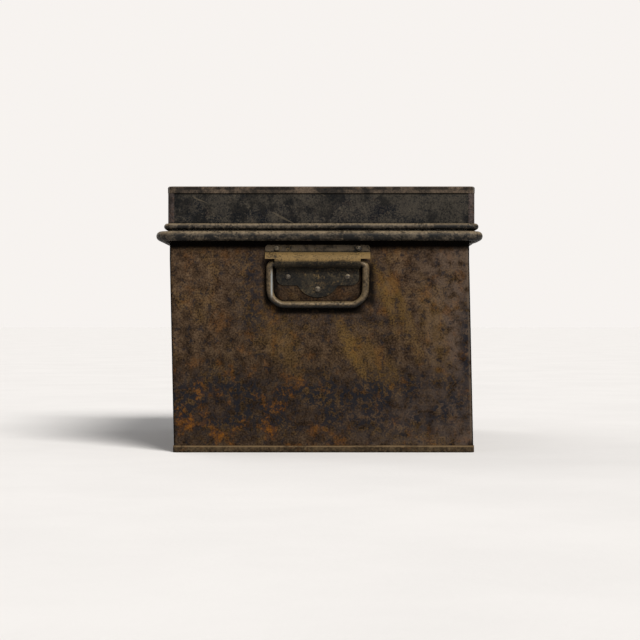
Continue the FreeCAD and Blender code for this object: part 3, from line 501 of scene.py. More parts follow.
@dataclass(frozen=True)
class WornPaint:
    """Old paint over sheet steel: upper faces worn and lightened by painted top light, lower faces
    in painted shade, creases in painted shade and dirt.
    """

    name: str
    dark: Colour
    light: Colour
    # Colour of wear, also laid as painted top light on faces that turn up.
    worn: Colour
    top: float = 0.5
    crown: Span = (0.1, 0.75)
    # Share of their own colour that undersides keep under the painted shade.
    under: float = 0.35
    speck: float = 0.3
    speck_scale: float = 260.0
    rust: float = 0.25
    roughness: float = 0.55
    relief: float = 0.35 * MM
    metal: float = 0.1
    shine: float = 0.25
    # How strongly painted shade, partly dirt, darkens the creases.
    painted_shade: float = 0.85
    reach: float = 4.0 * MM
    blot: float = 0.0
    edge: float = 0.0

    def worn_lit_tops(self, graph: Graph) -> Socket:
        """Where the surface faces up enough to be worn and to take painted top light."""
        return graph.step(graph.upward(), *self.crown)

    def edged(self, graph: Graph, mid: Socket, colour: Socket) -> Socket:
        """The colour with a rubbed line along a top edge, and tin on the floor inside it."""
        rise = graph.step(graph.axes()[2], self.edge - 2.2 * MM, self.edge - 0.6 * MM)
        colour = graph.mix(graph.times(rise, graph.step(mid, 0.30, 0.50), 0.75), colour,
                           self.worn)
        bottom = graph.times(graph.step(graph.upward(), 0.5, 0.8),
                             graph.below(graph.axes()[2], 0.5 * self.edge))
        return graph.mix(bottom, colour, TinInside().colour(graph))

    def blotted(self, graph: Graph, colour: Socket) -> Socket:
        """The colour with black blots, fewer on the worn tops."""
        blots = graph.blend(graph.noise(42.0, 4.0, 0.6), 0.7, graph.noise(260.0, 4.0, 0.65), 0.3)
        low = graph.less(1.0, graph.times(self.worn_lit_tops(graph), 0.75))
        return graph.mix(graph.times(graph.step(blots, 0.485, 0.55), low, self.blot), colour,
                         BLOT)

    def layers(self, graph: Graph) -> tuple[Socket, Socket]:
        """Colour and height of the paint, specks, rust, worn upper faces with painted top light,
        and painted shade.

        Args:
            graph: The material's graph.

        Returns:
            The colour and the relief.
        """
        fine = graph.noise(self.speck_scale * 2.0, 3.0, 0.62)
        mid = graph.noise(78.0, 5.0, 0.62)
        colour = graph.mix(graph.step(graph.blend(fine, 0.55, mid, 0.45), 0.38, 0.64),
                           self.dark, self.light)
        flecks = graph.step(graph.noise(self.speck_scale, 5.0, 0.70), 0.535, 0.66)
        patch = graph.step(graph.noise(26.0, 4.0, 0.6), 0.34, 0.60)
        colour = graph.mix(graph.times(flecks, patch, self.speck), colour, self.worn)
        rust = graph.step(graph.noise(140.0, 6.0, 0.7, 0.2), 0.55, 0.66)
        colour = graph.mix(graph.times(rust, self.rust), colour, RUST)
        # Wear and painted top light on faces that turn up.
        rubbed = graph.times(self.worn_lit_tops(graph),
                             graph.step(graph.blend(mid, 0.55, fine, 0.45), 0.33, 0.52))
        colour = graph.mix(graph.times(rubbed, self.top), colour,
                           graph.scaled(self.worn, graph.raised(0.45, fine, 1.1)))
        if self.edge:
            colour = self.edged(graph, mid, colour)
        if self.blot:
            colour = self.blotted(graph, colour)
        # Painted shade on faces that turn down.
        below = graph.times(graph.step(graph.upward(), -0.05, -0.65), 1.0 - self.under)
        colour = graph.mix(below, colour, UNDERSIDE_SHADE)
        # Painted shade in creases, partly dirt.
        colour = graph.mix(graph.times(graph.shade_in_creases(self.reach), self.painted_shade), colour, CREASE_SHADE_COLOUR)
        height = graph.blend(fine, 0.5, mid, 0.5)
        return colour, graph.less(height, graph.times(flecks, 0.12))

    def build(self) -> bpy.types.Material:
        """Build the material."""
        graph = Graph(self.name)
        colour, height = self.layers(graph)
        rough = graph.raised(self.roughness - 0.12, height, 0.35)
        return graph.finish(colour, rough, self.metal, height, self.relief, self.shine)


@dataclass(frozen=True)
class PlatePaint(WornPaint):
    """Handle plate paint, gold-brown on the upper half of the hood from wear and painted top light.
    """

    hood: float = 202.2 * MM
    rubbed: Colour = (0.098, 0.074, 0.049)
    flange: Span = (199.0 * MM, 201.0 * MM)
    lobe: Span = (178.0 * MM, 170.0 * MM)

    def worn_lit_tops(self, graph: Graph) -> Socket:
        """The hood's upper half, not the flat flange or tongue."""
        stands = graph.math("GREATER_THAN", graph.unsigned(graph.axes()[1]), self.hood)
        return graph.times(super().worn_lit_tops(graph), stands)

    def layers(self, graph: Graph) -> tuple[Socket, Socket]:
        """Colour and height, with a rubbed flange and a dirty lobe."""
        colour, height = super().layers(graph)
        z = graph.axes()[2]
        patch = graph.step(graph.noise(130.0, 4.0, 0.6), 0.36, 0.58)
        rubbed = graph.times(graph.step(z, *self.flange), patch, 0.62)
        colour = graph.mix(rubbed, colour, self.rubbed)
        dirty = graph.times(graph.step(z, *self.lobe), 0.45)
        return graph.mix(dirty, colour, self.dark), height


@dataclass(frozen=True)
class BailPaint(WornPaint):
    """Bail paint with a painted glint inside one leg, and dark chips under the bar that are partly
    painted shade.
    """

    bar: float = 150.5 * MM
    # Place and colour of the painted glint inside one leg.
    glint_x: Span = (-48.0 * MM, -46.6 * MM)
    glint_z: Span = (156.0 * MM, 179.0 * MM)
    painted_glint: Colour = (0.260, 0.280, 0.285)
    # Colour of the chips, which are partly painted shade.
    chip: Colour = (0.0030, 0.0026, 0.0022)

    def layers(self, graph: Graph) -> tuple[Socket, Socket]:
        """Colour and height, with the painted glint and the chips that are partly painted shade."""
        colour, height = super().layers(graph)
        x, _, z = graph.axes()
        # Painted glint: a pale cold line on the inner side of one leg.
        rubbed = graph.times(graph.window(x, self.glint_x, 0.8 * MM),
                             graph.window(z, self.glint_z, 5.0 * MM), 0.8)
        colour = graph.mix(rubbed, colour, self.painted_glint)
        # Dark chips on the bar's faces that turn down, partly painted shade.
        under = graph.times(graph.below(z, self.bar), graph.step(graph.upward(), 0.15, -0.25))
        chips = graph.times(under, graph.step(graph.noise(240.0, 3.0, 0.6), 0.47, 0.52), 0.9)
        return graph.mix(chips, colour, self.chip), height


@dataclass(frozen=True)
class LidPaint(WornPaint):
    """Near-black lid paint under a brown film, tinned on the inner face."""

    film: float = 0.8
    chipped: float = 0.0
    seam: float = 257.0 * MM
    foot: float = 229.0 * MM
    arris: Span = (259.5 * MM, 261.5 * MM)
    half_x: float = 150.9 * MM
    half_y: float = 201.9 * MM
    ceiling: float = 263.4 * MM
    shift: float = 1.8 * MM
    chip: Colour = (0.0030, 0.0028, 0.0026)
    groove: Colour = (0.0022, 0.0016, 0.0010)

    def filmed(self, graph: Graph, colour: Socket) -> Socket:
        """The colour under the brown film and a few scratches."""
        x, _, z = graph.axes()
        cloud = graph.noise(34.0, 5.0, 0.64)
        fine = graph.noise(610.0, 3.0, 0.62)
        lift = graph.blend(graph.step(z, self.foot, self.seam), 0.13,
                           graph.step(x, 0.0, 130 * MM), 0.10)
        film = graph.times(graph.step(graph.plus(cloud, lift), 0.56, 0.70),
                           graph.step(fine, 0.30, 0.66), self.film)
        colour = graph.mix(film, colour, self.light)
        line = graph.noise(1.0, 2.0, 0.5, 0.0, graph.streaks((200.0, 200.0, 22.0), 64.0))
        return graph.mix(graph.times(graph.step(line, 0.69, 0.73), 0.3), colour, self.worn)

    def build(self) -> bpy.types.Material:
        """Build the material."""
        graph = Graph(self.name)
        x, y, z = graph.axes()
        colour, height = self.layers(graph)
        colour = self.filmed(graph, colour)
        if self.chipped:
            chips = graph.times(graph.step(z, *self.arris), graph.step(graph.upward(), 0.8, 0.5),
                                graph.step(graph.noise(46.0, 6.0, 0.66), 0.46, 0.54))
            colour = graph.mix(graph.times(chips, self.chipped), colour, self.chip)
        line = (self.seam - 1.1 * MM, self.seam + 0.4 * MM)
        colour = graph.mix(graph.times(graph.window(z, line, 0.4 * MM), 0.85), colour,
                           self.groove)
        inside = graph.times(graph.below(graph.unsigned(graph.less(x, self.shift)), self.half_x),
                             graph.below(graph.unsigned(y), self.half_y),
                             graph.below(z, self.ceiling))
        colour = graph.mix(inside, colour, TinInside().colour(graph))
        rough = graph.raised(self.roughness - 0.1, height, 0.3)
        return graph.finish(colour, rough, self.metal, height, self.relief, self.shine)


@dataclass(frozen=True)
class OldBrass:
    """Brown, dulled brass."""

    name: str = "old_brass"
    clean: Colour = (0.30, 0.20, 0.07)
    brown: Colour = (0.075, 0.048, 0.020)

    def build(self) -> bpy.types.Material:
        """Build the material."""
        graph = Graph(self.name)
        cloud = graph.noise(130.0, 6.0, 0.62)
        grain = graph.noise(700.0, 4.0, 0.6)
        colour = graph.mix(graph.step(cloud, 0.36, 0.62), self.brown, self.clean)
        return graph.finish(colour, graph.raised(0.28, cloud, 0.3), 0.8, grain, 0.1 * MM)


class Finishes:
    """Every finish of the box, built once."""

    def __init__(self) -> None:
        """Build the finishes."""
        self.body = BodyPatina().build()
        self.base = WornPaint(
            "base_paint", (0.016, 0.0105, 0.006), (0.060, 0.041, 0.022), (0.150, 0.100, 0.050),
            top=0.9, crown=(0.2, 0.8), under=0.6, speck=0.25, rust=0.3, painted_shade=0.6,
            metal=0.0, shine=0.05, edge=7.0 * MM).build()
        self.cap = LidPaint(
            "cap_paint", (0.0120, 0.0092, 0.0070), (0.092, 0.066, 0.045), (0.130, 0.094, 0.062),
            blot=0.8, chipped=0.75, top=0.5, speck=0.25, film=0.55, seam=255.0 * MM, painted_shade=0.7,
            metal=0.0, shine=0.08).build()
        self.lid = LidPaint(
            "lid_paint", (0.0034, 0.0044, 0.0064), (0.040, 0.034, 0.026), (0.120, 0.095, 0.062),
            film=0.80, blot=0.75, top=0.2, speck=0.30, speck_scale=330.0, rust=0.05, roughness=0.52,
            metal=0.0, shine=0.04, reach=7.0 * MM).build()
        self.strip = WornPaint(
            "strip_paint", (0.017, 0.0130, 0.0115), (0.058, 0.044, 0.039), (0.095, 0.074, 0.058),
            top=0.3, speck=0.3, painted_shade=0.8, reach=5.0 * MM, metal=0.0, shine=0.08).build()
        self.bead = WornPaint(
            "bead_paint", (0.0085, 0.0070, 0.0050), (0.066, 0.053, 0.038), (0.175, 0.132, 0.082),
            top=0.95, crown=(0.05, 0.85), under=0.85, speck=0.45, speck_scale=230.0, rust=0.12,
            painted_shade=0.7, blot=0.92, roughness=0.50, metal=0.1, shine=0.15,
            reach=5.0 * MM).build()
        self.plate = PlatePaint(
            "plate_paint", (0.0048, 0.0046, 0.0042), (0.056, 0.043, 0.025), (0.150, 0.096, 0.037),
            top=0.97, crown=(-0.30, 0.02), under=0.42, speck=0.7, speck_scale=340.0, rust=0.15,
            blot=0.6, roughness=0.50, metal=0.05, shine=0.10, painted_shade=0.78).build()
        self.bail = BailPaint(
            "bail_paint", (0.0120, 0.0085, 0.0052), (0.080, 0.056, 0.031), (0.142, 0.100, 0.052),
            top=0.9, crown=(-0.42, 0.55), under=0.05, speck=0.60, speck_scale=240.0, rust=0.2,
            blot=0.55, roughness=0.38, metal=0.15, shine=0.24, painted_shade=0.50).build()
        self.rivet = WornPaint(
            "rivet_paint", (0.010, 0.0080, 0.0060), (0.100, 0.078, 0.050), (0.260, 0.205, 0.135),
            top=0.9, speck=0.5, rust=0.1, metal=0.3, shine=0.4, painted_shade=0.9,
            reach=1.2 * MM).build()
        self.hinge = WornPaint(
            "hinge_paint", (0.012, 0.009, 0.007), (0.047, 0.032, 0.020), (0.10, 0.072, 0.042),
            top=0.5, speck=0.35, rust=0.35).build()
        self.tin = TinInside().build()
        self.brass = OldBrass().build()
        self.steel = WornPaint(
            "wire_steel", (0.05, 0.045, 0.038), (0.16, 0.145, 0.125), (0.25, 0.22, 0.18),
            top=0.3, under=0.9, speck=0.2, rust=0.3, roughness=0.4, metal=0.7, shine=0.5).build()


# ---------------------------------------------------------------------------
# Mesh tools
# ---------------------------------------------------------------------------


@dataclass(frozen=True)
class Station:
    """One place on a plan path: a point, the outward direction and the run so far."""

    x: float
    y: float
    out_x: float
    out_y: float
    run: float


Warp = Callable[[Station, float, float], tuple[float, float]]


def drift(run: float, seed: float) -> float:
    """A smooth wander between about -1 and 1 along a run.

    Args:
        run: Distance along the path.
        seed: Start phase.

    Returns:
        The wander.
    """
    return (0.5 * math.sin(run * 19.0 + seed) + 0.3 * math.sin(run * 47.0 + 2.3 * seed)
            + 0.2 * math.sin(run * 101.0 + 5.1 * seed))


@dataclass(frozen=True)
class Plan:
    """A rounded rectangle seen from above, and the paths round it."""

    half_x: float
    half_y: float
    corner: float
    shift: float = 0.0
    pitch: float = 6.0 * MM
    corner_steps: int = 10

    def straight(self, a: tuple[float, float], b: tuple[float, float],
                 out: tuple[float, float]) -> list[PlanPoint]:
        """Points of a straight side, without its last one."""
        count = max(2, round(math.dist(a, b) / self.pitch))
        return [(a[0] + (b[0] - a[0]) * step / count, a[1] + (b[1] - a[1]) * step / count, *out)
                for step in range(count)]

    def bend(self, middle_x: float, middle_y: float, first: float) -> list[PlanPoint]:
        """Points of a corner that turns from a first angle in degrees."""
        points = []
        for step in range(self.corner_steps):
            angle = math.radians(first + 90.0 * step / self.corner_steps)
            out_x, out_y = math.cos(angle), math.sin(angle)
            points.append((middle_x + self.corner * out_x, middle_y + self.corner * out_y,
                           out_x, out_y))
        return points

    def path(self, start: float = 0.0, end: float | None = None) -> list[Station]:
        """Stations from the back side through the far end and round.

        Args:
            start: Y on the back side where the path starts.
            end: Y on the back side where it ends, or None for a closed path back to the start.

        Returns:
            The stations, without the start repeated at the end.
        """
        half_x, half_y = self.half_x, self.half_y
        in_x, in_y = half_x - self.corner, half_y - self.corner
        last = start if end is None else end
        points = [
            *self.straight((half_x, start), (half_x, in_y), (1, 0)),
            *self.bend(in_x, in_y, 0),
            *self.straight((in_x, half_y), (-in_x, half_y), (0, 1)),
            *self.bend(-in_x, in_y, 90),
            *self.straight((-half_x, in_y), (-half_x, -in_y), (-1, 0)),
            *self.bend(-in_x, -in_y, 180),
            *self.straight((-in_x, -half_y), (in_x, -half_y), (0, -1)),
            *self.bend(in_x, -in_y, 270),
            *self.straight((half_x, -in_y), (half_x, last), (1, 0))]
        if end is not None:
            points.append((half_x, last, 1, 0))
        return self.stations(points)

    def back(self, half: float) -> list[Station]:
        """Stations on the middle of the back side, half to each side of zero."""
        count = round(2 * half / self.pitch)
        return self.stations([(self.half_x, -half + 2 * half * step / count, 1.0, 0.0)
                              for step in range(count + 1)])

    def stations(self, points: Sequence[PlanPoint]) -> list[Station]:
        """Plan points with the shift and the run so far."""
        result: list[Station] = []
        run = 0.0
        for index, (x, y, out_x, out_y) in enumerate(points):
            if index:
                run += math.dist((x, y), points[index - 1][:2])
            result.append(Station(x + self.shift, y, out_x, out_y, run))
        return result


def hollow_roll(out: float, z: float, radius: float, inner: float,
                count: int) -> list[Section]:
    """Outer and inner circle of a rolled edge as (outward, up) points."""
    turn = 2 * math.pi / count
    return [[(out + size * math.cos(turn * step), z + size * math.sin(turn * step))
             for step in range(count)] for size in (radius, inner)]


def wandering(out_size: float, out_seed: float, up_size: float, up_seed: float) -> Warp:
    """A warp that lets a roll wander, a hair inward on the whole.

    Args:
        out_size: How far it wanders outward.
        out_seed: Start phase of that.
        up_size: How far it wanders upward.
        up_seed: Start phase of that.

    Returns:
        The warp.
    """
    def warp(place: Station, out: float, up: float) -> tuple[float, float]:
        """Move a point of the roll."""
        return (out + out_size * drift(place.run, out_seed) - 0.02 * MM,
                up + up_size * drift(place.run, up_seed))

    return warp


def wavy_edge(low: float, high: float, depth: float, seed: float) -> Warp:
    """A warp that lets the edge between two heights wander up by a depth, or down."""
    def warp(place: Station, out: float, up: float) -> tuple[float, float]:
        """Move a point if it is on the edge."""
        if low < up < high:
            up += depth * (1.0 + drift(place.run, seed))
        return out, up

    return warp


def joined(mesh: bmesh.types.BMesh, first: Ring, second: Ring) -> None:
    """Close the band between two rings of points."""
    for index in range(len(first)):
        following = (index + 1) % len(first)
        mesh.faces.new((first[index], second[index], second[following], first[following]))


def sweep(path: Sequence[Station], loops: Sequence[Section], closed: bool,
          warp: Warp | None = None) -> bmesh.types.BMesh:
    """Sweep one closed section, or an outer and an inner one, along a plan path.

    Args:
        path: The stations.
        loops: One loop, or an outer loop and an inner loop with as many points.
        closed: True if the path closes on itself.
        warp: Moves a section point at a station.

    Returns:
        The swept mesh.
    """
    mesh = bmesh.new()
    rows: list[list[Ring]] = []
    for loop in loops:
        rows.append([])
        for place in path:
            row = []
            for out, up in loop:
                if warp:
                    out, up = warp(place, out, up)
                row.append(mesh.verts.new((place.x + place.out_x * out,
                                           place.y + place.out_y * out, up)))
            rows[-1].append(row)
    for row_set in rows:
        for first, second in zip(row_set, row_set[1:]):
            joined(mesh, first, second)
        if closed:
            joined(mesh, row_set[-1], row_set[0])
    if not closed:
        for index in (0, -1):
            if len(rows) == 1:
                mesh.faces.new(rows[0][index])
            else:
                joined(mesh, rows[0][index], rows[1][index])
    bmesh.ops.recalc_face_normals(mesh, faces=mesh.faces)
    return mesh


def flat_plate(plan: Plan, low: float, high: float) -> bmesh.types.BMesh:
    """The flat middle of a sheet, between two heights."""
    mesh = bmesh.new()
    rings = [[mesh.verts.new((place.x, place.y, up)) for place in plan.path()]
             for up in (low, high)]
    mesh.faces.new(reversed(rings[0]))
    mesh.faces.new(rings[1])
    joined(mesh, rings[1], rings[0])
    return mesh


def rolled_edge(plan: Plan, strip: Section, roll: Sequence[Section],
                warp: Warp) -> list[bmesh.types.BMesh]:
    """Flat strip and hollow roll along an edge, with gaps at the hinges.

    Args:
        plan: The plan of the edge.
        strip: Section of the flat strip that leads to the roll.
        roll: Outer and inner section of the roll.
        warp: Moves a point of the roll.

    Returns:
        The meshes.
    """
    stretches = (plan.path(HINGE_FAR, -HINGE_FAR), plan.back(HINGE_NEAR))
    return ([sweep(path, [strip], False) for path in stretches]
            + [sweep(path, roll, False, warp) for path in stretches])


def piece_from(name: str, meshes: Sequence[bmesh.types.BMesh],
               material: bpy.types.Material) -> bpy.types.Object:
    """Join meshes into one smooth-shaded object at the origin.

    Args:
        name: Name of the piece.
        meshes: The meshes, which are freed.
        material: Its finish.

    Returns:
        The new object.
    """
    whole = bmesh.new()
    for mesh in meshes:
        part = bpy.data.meshes.new("part")
        mesh.to_mesh(part)
        mesh.free()
        whole.from_mesh(part)
        bpy.data.meshes.remove(part)
    data = bpy.data.meshes.new(name)
    for edge in whole.edges:
        edge.smooth = not (len(edge.link_faces) == 2 and edge.calc_face_angle(0.0) > SHARP)
    for face in whole.faces:
        face.smooth = True
    whole.to_mesh(data)
    whole.free()
    data.materials.append(material)
    item = bpy.data.objects.new(name, data)
    bpy.context.scene.collection.objects.link(item)
    return item


def settle(item: bpy.types.Object, body: Body, node: str) -> None:
    """Hand a finished piece to the frame.

    Args:
        item: The piece.
        body: The body that it rides on.
        node: The node that it stands for.
    """
    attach(item, body.value)
    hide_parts(node)
    LOG.info("piece %s on %s, %d faces", item.name, body.value, len(item.data.polygons))


def ease(node: str, name: str, material: bpy.types.Material, edge: float, body: Body) -> None:
    """Stand a copy of a node, with its sharp edges eased, in its place.

    Args:
        node: The CAD node.
        name: Name of the new piece.
        material: Its finish.
        edge: Width of the eased edge.
        body: The body that it rides on.
    """
    mesh = bmesh.new()
    mesh.from_mesh(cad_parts[node].data)
    bmesh.ops.remove_doubles(mesh, verts=mesh.verts, dist=1e-6)
    bmesh.ops.dissolve_limit(mesh, angle_limit=math.radians(0.5), verts=mesh.verts,
                             edges=mesh.edges)
    item = piece_from(name, [mesh], material)
    bevel = item.modifiers.new("eased", "BEVEL")
    bevel.width = edge
    bevel.segments = 2
    bevel.limit_method = "ANGLE"
    bevel.angle_limit = math.radians(40.0)
    bevel.use_clamp_overlap = True
    bevel.harden_normals = True
    settle(applied(item, name), body, node)


def applied(item: bpy.types.Object, name: str) -> bpy.types.Object:
    """The item with its modifiers turned into a plain mesh."""
    graph = bpy.context.evaluated_depsgraph_get()
    data = bpy.data.meshes.new_from_object(item.evaluated_get(graph))
    item.modifiers.clear()
    old = item.data
    item.data = data
    data.name = name
    bpy.data.meshes.remove(old)
    return item


def dress(node: str, material: bpy.types.Material) -> None:
    """Give a node that stays its finish."""
    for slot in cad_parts[node].material_slots:
        slot.material = material
    LOG.info("node %s stays", node)


# ---------------------------------------------------------------------------
# Sub-assemblies
# ---------------------------------------------------------------------------


@dataclass
class Carcass:
    """Body wall, base pan, rim bead, wires and dust collar."""

    finishes: Finishes
    half_x: float = 149.0 * MM
    half_y: float = 200.0 * MM
    corner: float = 4.0 * MM
    lean: float = 4.0 * MM
    base_rim: float = 7.0 * MM
    base_sheet: float = 0.8 * MM
    floor: float = 1.0 * MM
    plate_inset: float = 2.9 * MM
    wall_top: float = 212.0 * MM
    rim_sheet: float = 1.0 * MM
    rim_leg: float = 14.0 * MM
    bead_out: float = 8.4 * MM
    bead_z: float = 214.7 * MM
    bead_radius: float = 5.0 * MM
    bead_wall: float = 1.0 * MM

    def build(self) -> None:
        """Build and dress every piece."""
        dress("body_shell", self.finishes.body)
        dress("rim_wire", self.finishes.steel)
        self.base_pan()
        self.rim()
        ease("dust_collar", "collar_sheet", self.finishes.tin, 0.3 * MM, Body.BOX)

    def base_pan(self) -> None:
        """Pan with a rounded, slightly wavy turned-up edge."""
        wall, top = self.base_sheet, self.base_rim
        section = [(-3 * MM, 0.0), (wall - 0.5 * MM, 0.0), (wall - 0.15 * MM, 0.15 * MM),
                   (wall, 0.5 * MM), (wall, top - 0.35 * MM), (wall - 0.12 * MM, top - 0.1 * MM),
                   (wall - 0.3 * MM, top), (0.05 * MM, top), (0.02 * MM, self.floor),
                   (-3 * MM, self.floor)]
        outer = Plan(self.half_x, self.half_y, self.corner, self.lean)
        inner = Plan(self.half_x - self.plate_inset, self.half_y - self.plate_inset, 1.2 * MM,
                     self.lean)
        edge = sweep(outer.path(), [section], True,
                     wavy_edge(0.5 * top, top + 1.0 * MM, -0.22 * MM, 1.3))
        plate = flat_plate(inner, 0.0, self.floor)
        settle(piece_from("base_pan_sheet", [edge, plate], self.finishes.base), Body.BOX,
               "base_pan")

    def rim(self) -> None:
        """Rim moulding: inner leg, flange and rolled bead with gaps at the hinges."""
        top, sheet = self.wall_top, self.rim_sheet
        leg = [(-1.0 * MM, top - self.rim_leg), (-1.0 * MM, top), (0.0, top),
               (0.0, top + sheet), (-2.0 * MM, top + sheet), (-2.0 * MM, top - self.rim_leg)]
        shelf_end = self.bead_out - 3.2 * MM
        shelf = [(-0.1 * MM, top), (shelf_end, top), (shelf_end, top + sheet),
                 (-0.1 * MM, top + sheet)]
        roll = hollow_roll(self.bead_out, self.bead_z, self.bead_radius - 0.12 * MM,
                           self.bead_radius - self.bead_wall, 28)
        plan = Plan(self.half_x, self.half_y, self.corner)
        meshes = [sweep(plan.path(), [leg], True),
                  *rolled_edge(plan, shelf, roll, wandering(0.1 * MM, 0.4, 0.09 * MM, 2.9))]
        settle(piece_from("rim_roll", meshes, self.finishes.bead), Body.BOX,
               "rim_moulding")


@dataclass
class Lid:
    """Lid wall with its rolled edge, corner strips, cap, staple and wire."""

    finishes: Finishes
    half_x: float = 151.7 * MM
    half_y: float = 202.7 * MM
    corner: float = 5.0 * MM
    shift: float = 1.8 * MM
    wall: float = 0.9 * MM
    low: float = 224.1 * MM
    top: float = 264.0 * MM
    bead_out: float = 1.45 * MM
    bead_radius: float = 3.25 * MM
    bead_wall: float = 0.8 * MM
    cap_depth: float = 7.0 * MM
    cap_sheet: float = 0.75 * MM
    cap_top: float = 1.0 * MM
    cap_arris: float = 1.8 * MM
    plate_inset: float = 2.9 * MM

    def build(self) -> None:
        """Build and dress every piece."""
        plan = Plan(self.half_x, self.half_y, self.corner, self.shift)
        dress("lid_wire", self.finishes.steel)
        self.wall_and_roll(plan)
        self.cap(plan)
        ease("lid_corner_strips", "corner_strips", self.finishes.strip, 0.15 * MM, Body.LID)
        ease("lid_staple", "staple_bar", self.finishes.hinge, 0.25 * MM, Body.LID)

    def wall_and_roll(self, plan: Plan) -> None:
        """Panels of the lid, and the rolled edge with gaps at the hinges."""
        high = self.top - self.cap_top
        start = self.low + self.bead_radius
        wall = [(-self.wall, start - 0.6 * MM), (0.0, start - 0.6 * MM), (0.0, high),
                (-self.wall, high)]
        lower = [(-self.wall, self.low + 2.0 * MM), (0.0, self.low + 2.0 * MM),
                 (0.0, start), (-self.wall, start)]
        roll = hollow_roll(self.bead_out, self.low, self.bead_radius - 0.08 * MM,
                           self.bead_radius - self.bead_wall, 24)
        panels = piece_from("lid_panels", [sweep(plan.path(), [wall], True)],
                            self.finishes.lid)
        settle(panels, Body.LID, "lid_wall")
        meshes = rolled_edge(plan, lower, roll, wandering(0.07 * MM, 3.4, 0.08 * MM, 1.1))
        settle(piece_from("lid_roll", meshes, self.finishes.bead), Body.LID,
               "lid_wall")

    def cap(self, plan: Plan) -> None:
        """Cap with a rounded arris and a slightly wavy lower edge."""
        out, top, low = self.cap_sheet, self.top, self.top - self.cap_depth
        arris = self.cap_arris
        section: Section = [(0.02 * MM, low), (out - 0.15 * MM, low), (out, low + 0.2 * MM),
                            (out, top - arris)]
        for step in range(1, 7):
            angle = math.radians(15.0 * step)
            section.append((out - arris + arris * math.cos(angle),
                            top - arris + arris * math.sin(angle)))
        section += [(-3.0 * MM, top), (-3.0 * MM, top - self.cap_top),
                    (0.02 * MM, top - self.cap_top)]
        edge = sweep(plan.path(), [section], True,
                     wavy_edge(low - 1.0 * MM, low + 0.5 * MM, 0.16 * MM, 4.2))
        inner = Plan(self.half_x - self.plate_inset, self.half_y - self.plate_inset, 2.1 * MM,
                     self.shift)
        plate = flat_plate(inner, top - self.cap_top, top)
        settle(piece_from("lid_cap_sheet", [edge, plate], self.finishes.cap), Body.LID,
               "lid_cap")


@dataclass
class Handle:
    """Handle plate and bail of one end."""

    finishes: Finishes
    end: End
    middle: float = -1.8 * MM
    end_face: float = 200.0 * MM
    stand: float = 4.5 * MM
    half: float = 47.7 * MM
    axis: float = 187.6 * MM
    reach: float = 41.1 * MM
    wire: float = 3.5 * MM
    uneven: float = 0.09 * MM
    sides: int = 24
    elbow: float = 5.0 * MM
    corner: float = 14.0 * MM
    tail: float = 30.0 * MM
    draw_in: float = 1.3 * MM

    @property
    def tag(self) -> str:
        """Name of the end in node names."""
        return self.end.name.lower()

    def build(self) -> None:
        """Build every piece of the handle."""
        ease(f"handle_plate_{self.tag}", f"handle_pressing_{self.tag}", self.finishes.plate,
             0.3 * MM, Body.BOX)
        self.bail()

    def bend(self, middle_x: float, middle_z: float, radius: float,
             first: float) -> list[tuple[float, float]]:
        """Points of a right-angled bend in the wire from a first angle in degrees."""
        angles = [math.radians(first + 9.0 * step) for step in range(11)]
        return [(middle_x + radius * math.cos(angle), middle_z + radius * math.sin(angle))
                for angle in angles]

    def line(self) -> list[Vector]:
        """Middle line of the bail from one turned-in tail to the other."""
        y = self.end.value * (self.end_face + self.stand)
        low, knee = self.axis - self.reach, self.axis - self.elbow
        leg = self.reach - self.elbow - self.corner
        left = [(-self.tail - (self.half - self.elbow - self.tail) * step / 3, self.axis)
                for step in range(3)]
        left += self.bend(-self.half + self.elbow, knee, self.elbow, 90)
        left += [(-self.half, knee - leg * step / 6) for step in range(1, 6)]
        left += self.bend(-self.half + self.corner, low + self.corner, self.corner, 180)
        left += [((-self.half + self.corner) * (1 - step / 6), low) for step in range(1, 6)]
        whole = left + [(0.0, low)] + [(-x, z) for x, z in reversed(left)]
        return [Vector((self.middle + x * self.narrowing(z), y, z)) for x, z in whole]

    def narrowing(self, z: float) -> float:
        """How far the legs have been bent in at a height, as a share of the width."""
        down = min(max((self.axis - self.elbow - z) / (self.reach - self.elbow), 0.0), 1.0)
        return 1.0 - self.draw_in / self.half * down * down

    def bail(self) -> None:
        """Bent wire with a slightly uneven section."""
        line = self.line()
        mesh = bmesh.new()
        side = Vector((0.0, 1.0, 0.0))
        rows: list[Ring] = []
        run = 0.0
        for index, point in enumerate(line):
            before = line[max(index - 1, 0)]
            after = line[min(index + 1, len(line) - 1)]
            run += (point - before).length
            lift = (after - before).normalized().cross(side).normalized()
            row = []
            for step in range(self.sides):
                angle = 2 * math.pi * step / self.sides
                worn = self.uneven * (1.0 + drift(run * 1.7, 1.0 + 0.9 * math.cos(angle)))
                radius = self.wire - worn
                row.append(mesh.verts.new(point + side * (radius * math.cos(angle))
                                          + lift * (radius * math.sin(angle))))
            rows.append(row)
        for first, second in zip(rows, rows[1:]):
            joined(mesh, first, second)
        mesh.faces.new(rows[0])
        mesh.faces.new(rows[-1])
        bmesh.ops.recalc_face_normals(mesh, faces=mesh.faces)
        body = Body.BAIL_NEAR if self.end is End.NEAR else Body.BAIL_FAR
        settle(piece_from(f"bail_wire_{self.tag}", [mesh], self.finishes.bail), body,
               f"bail_{self.tag}")


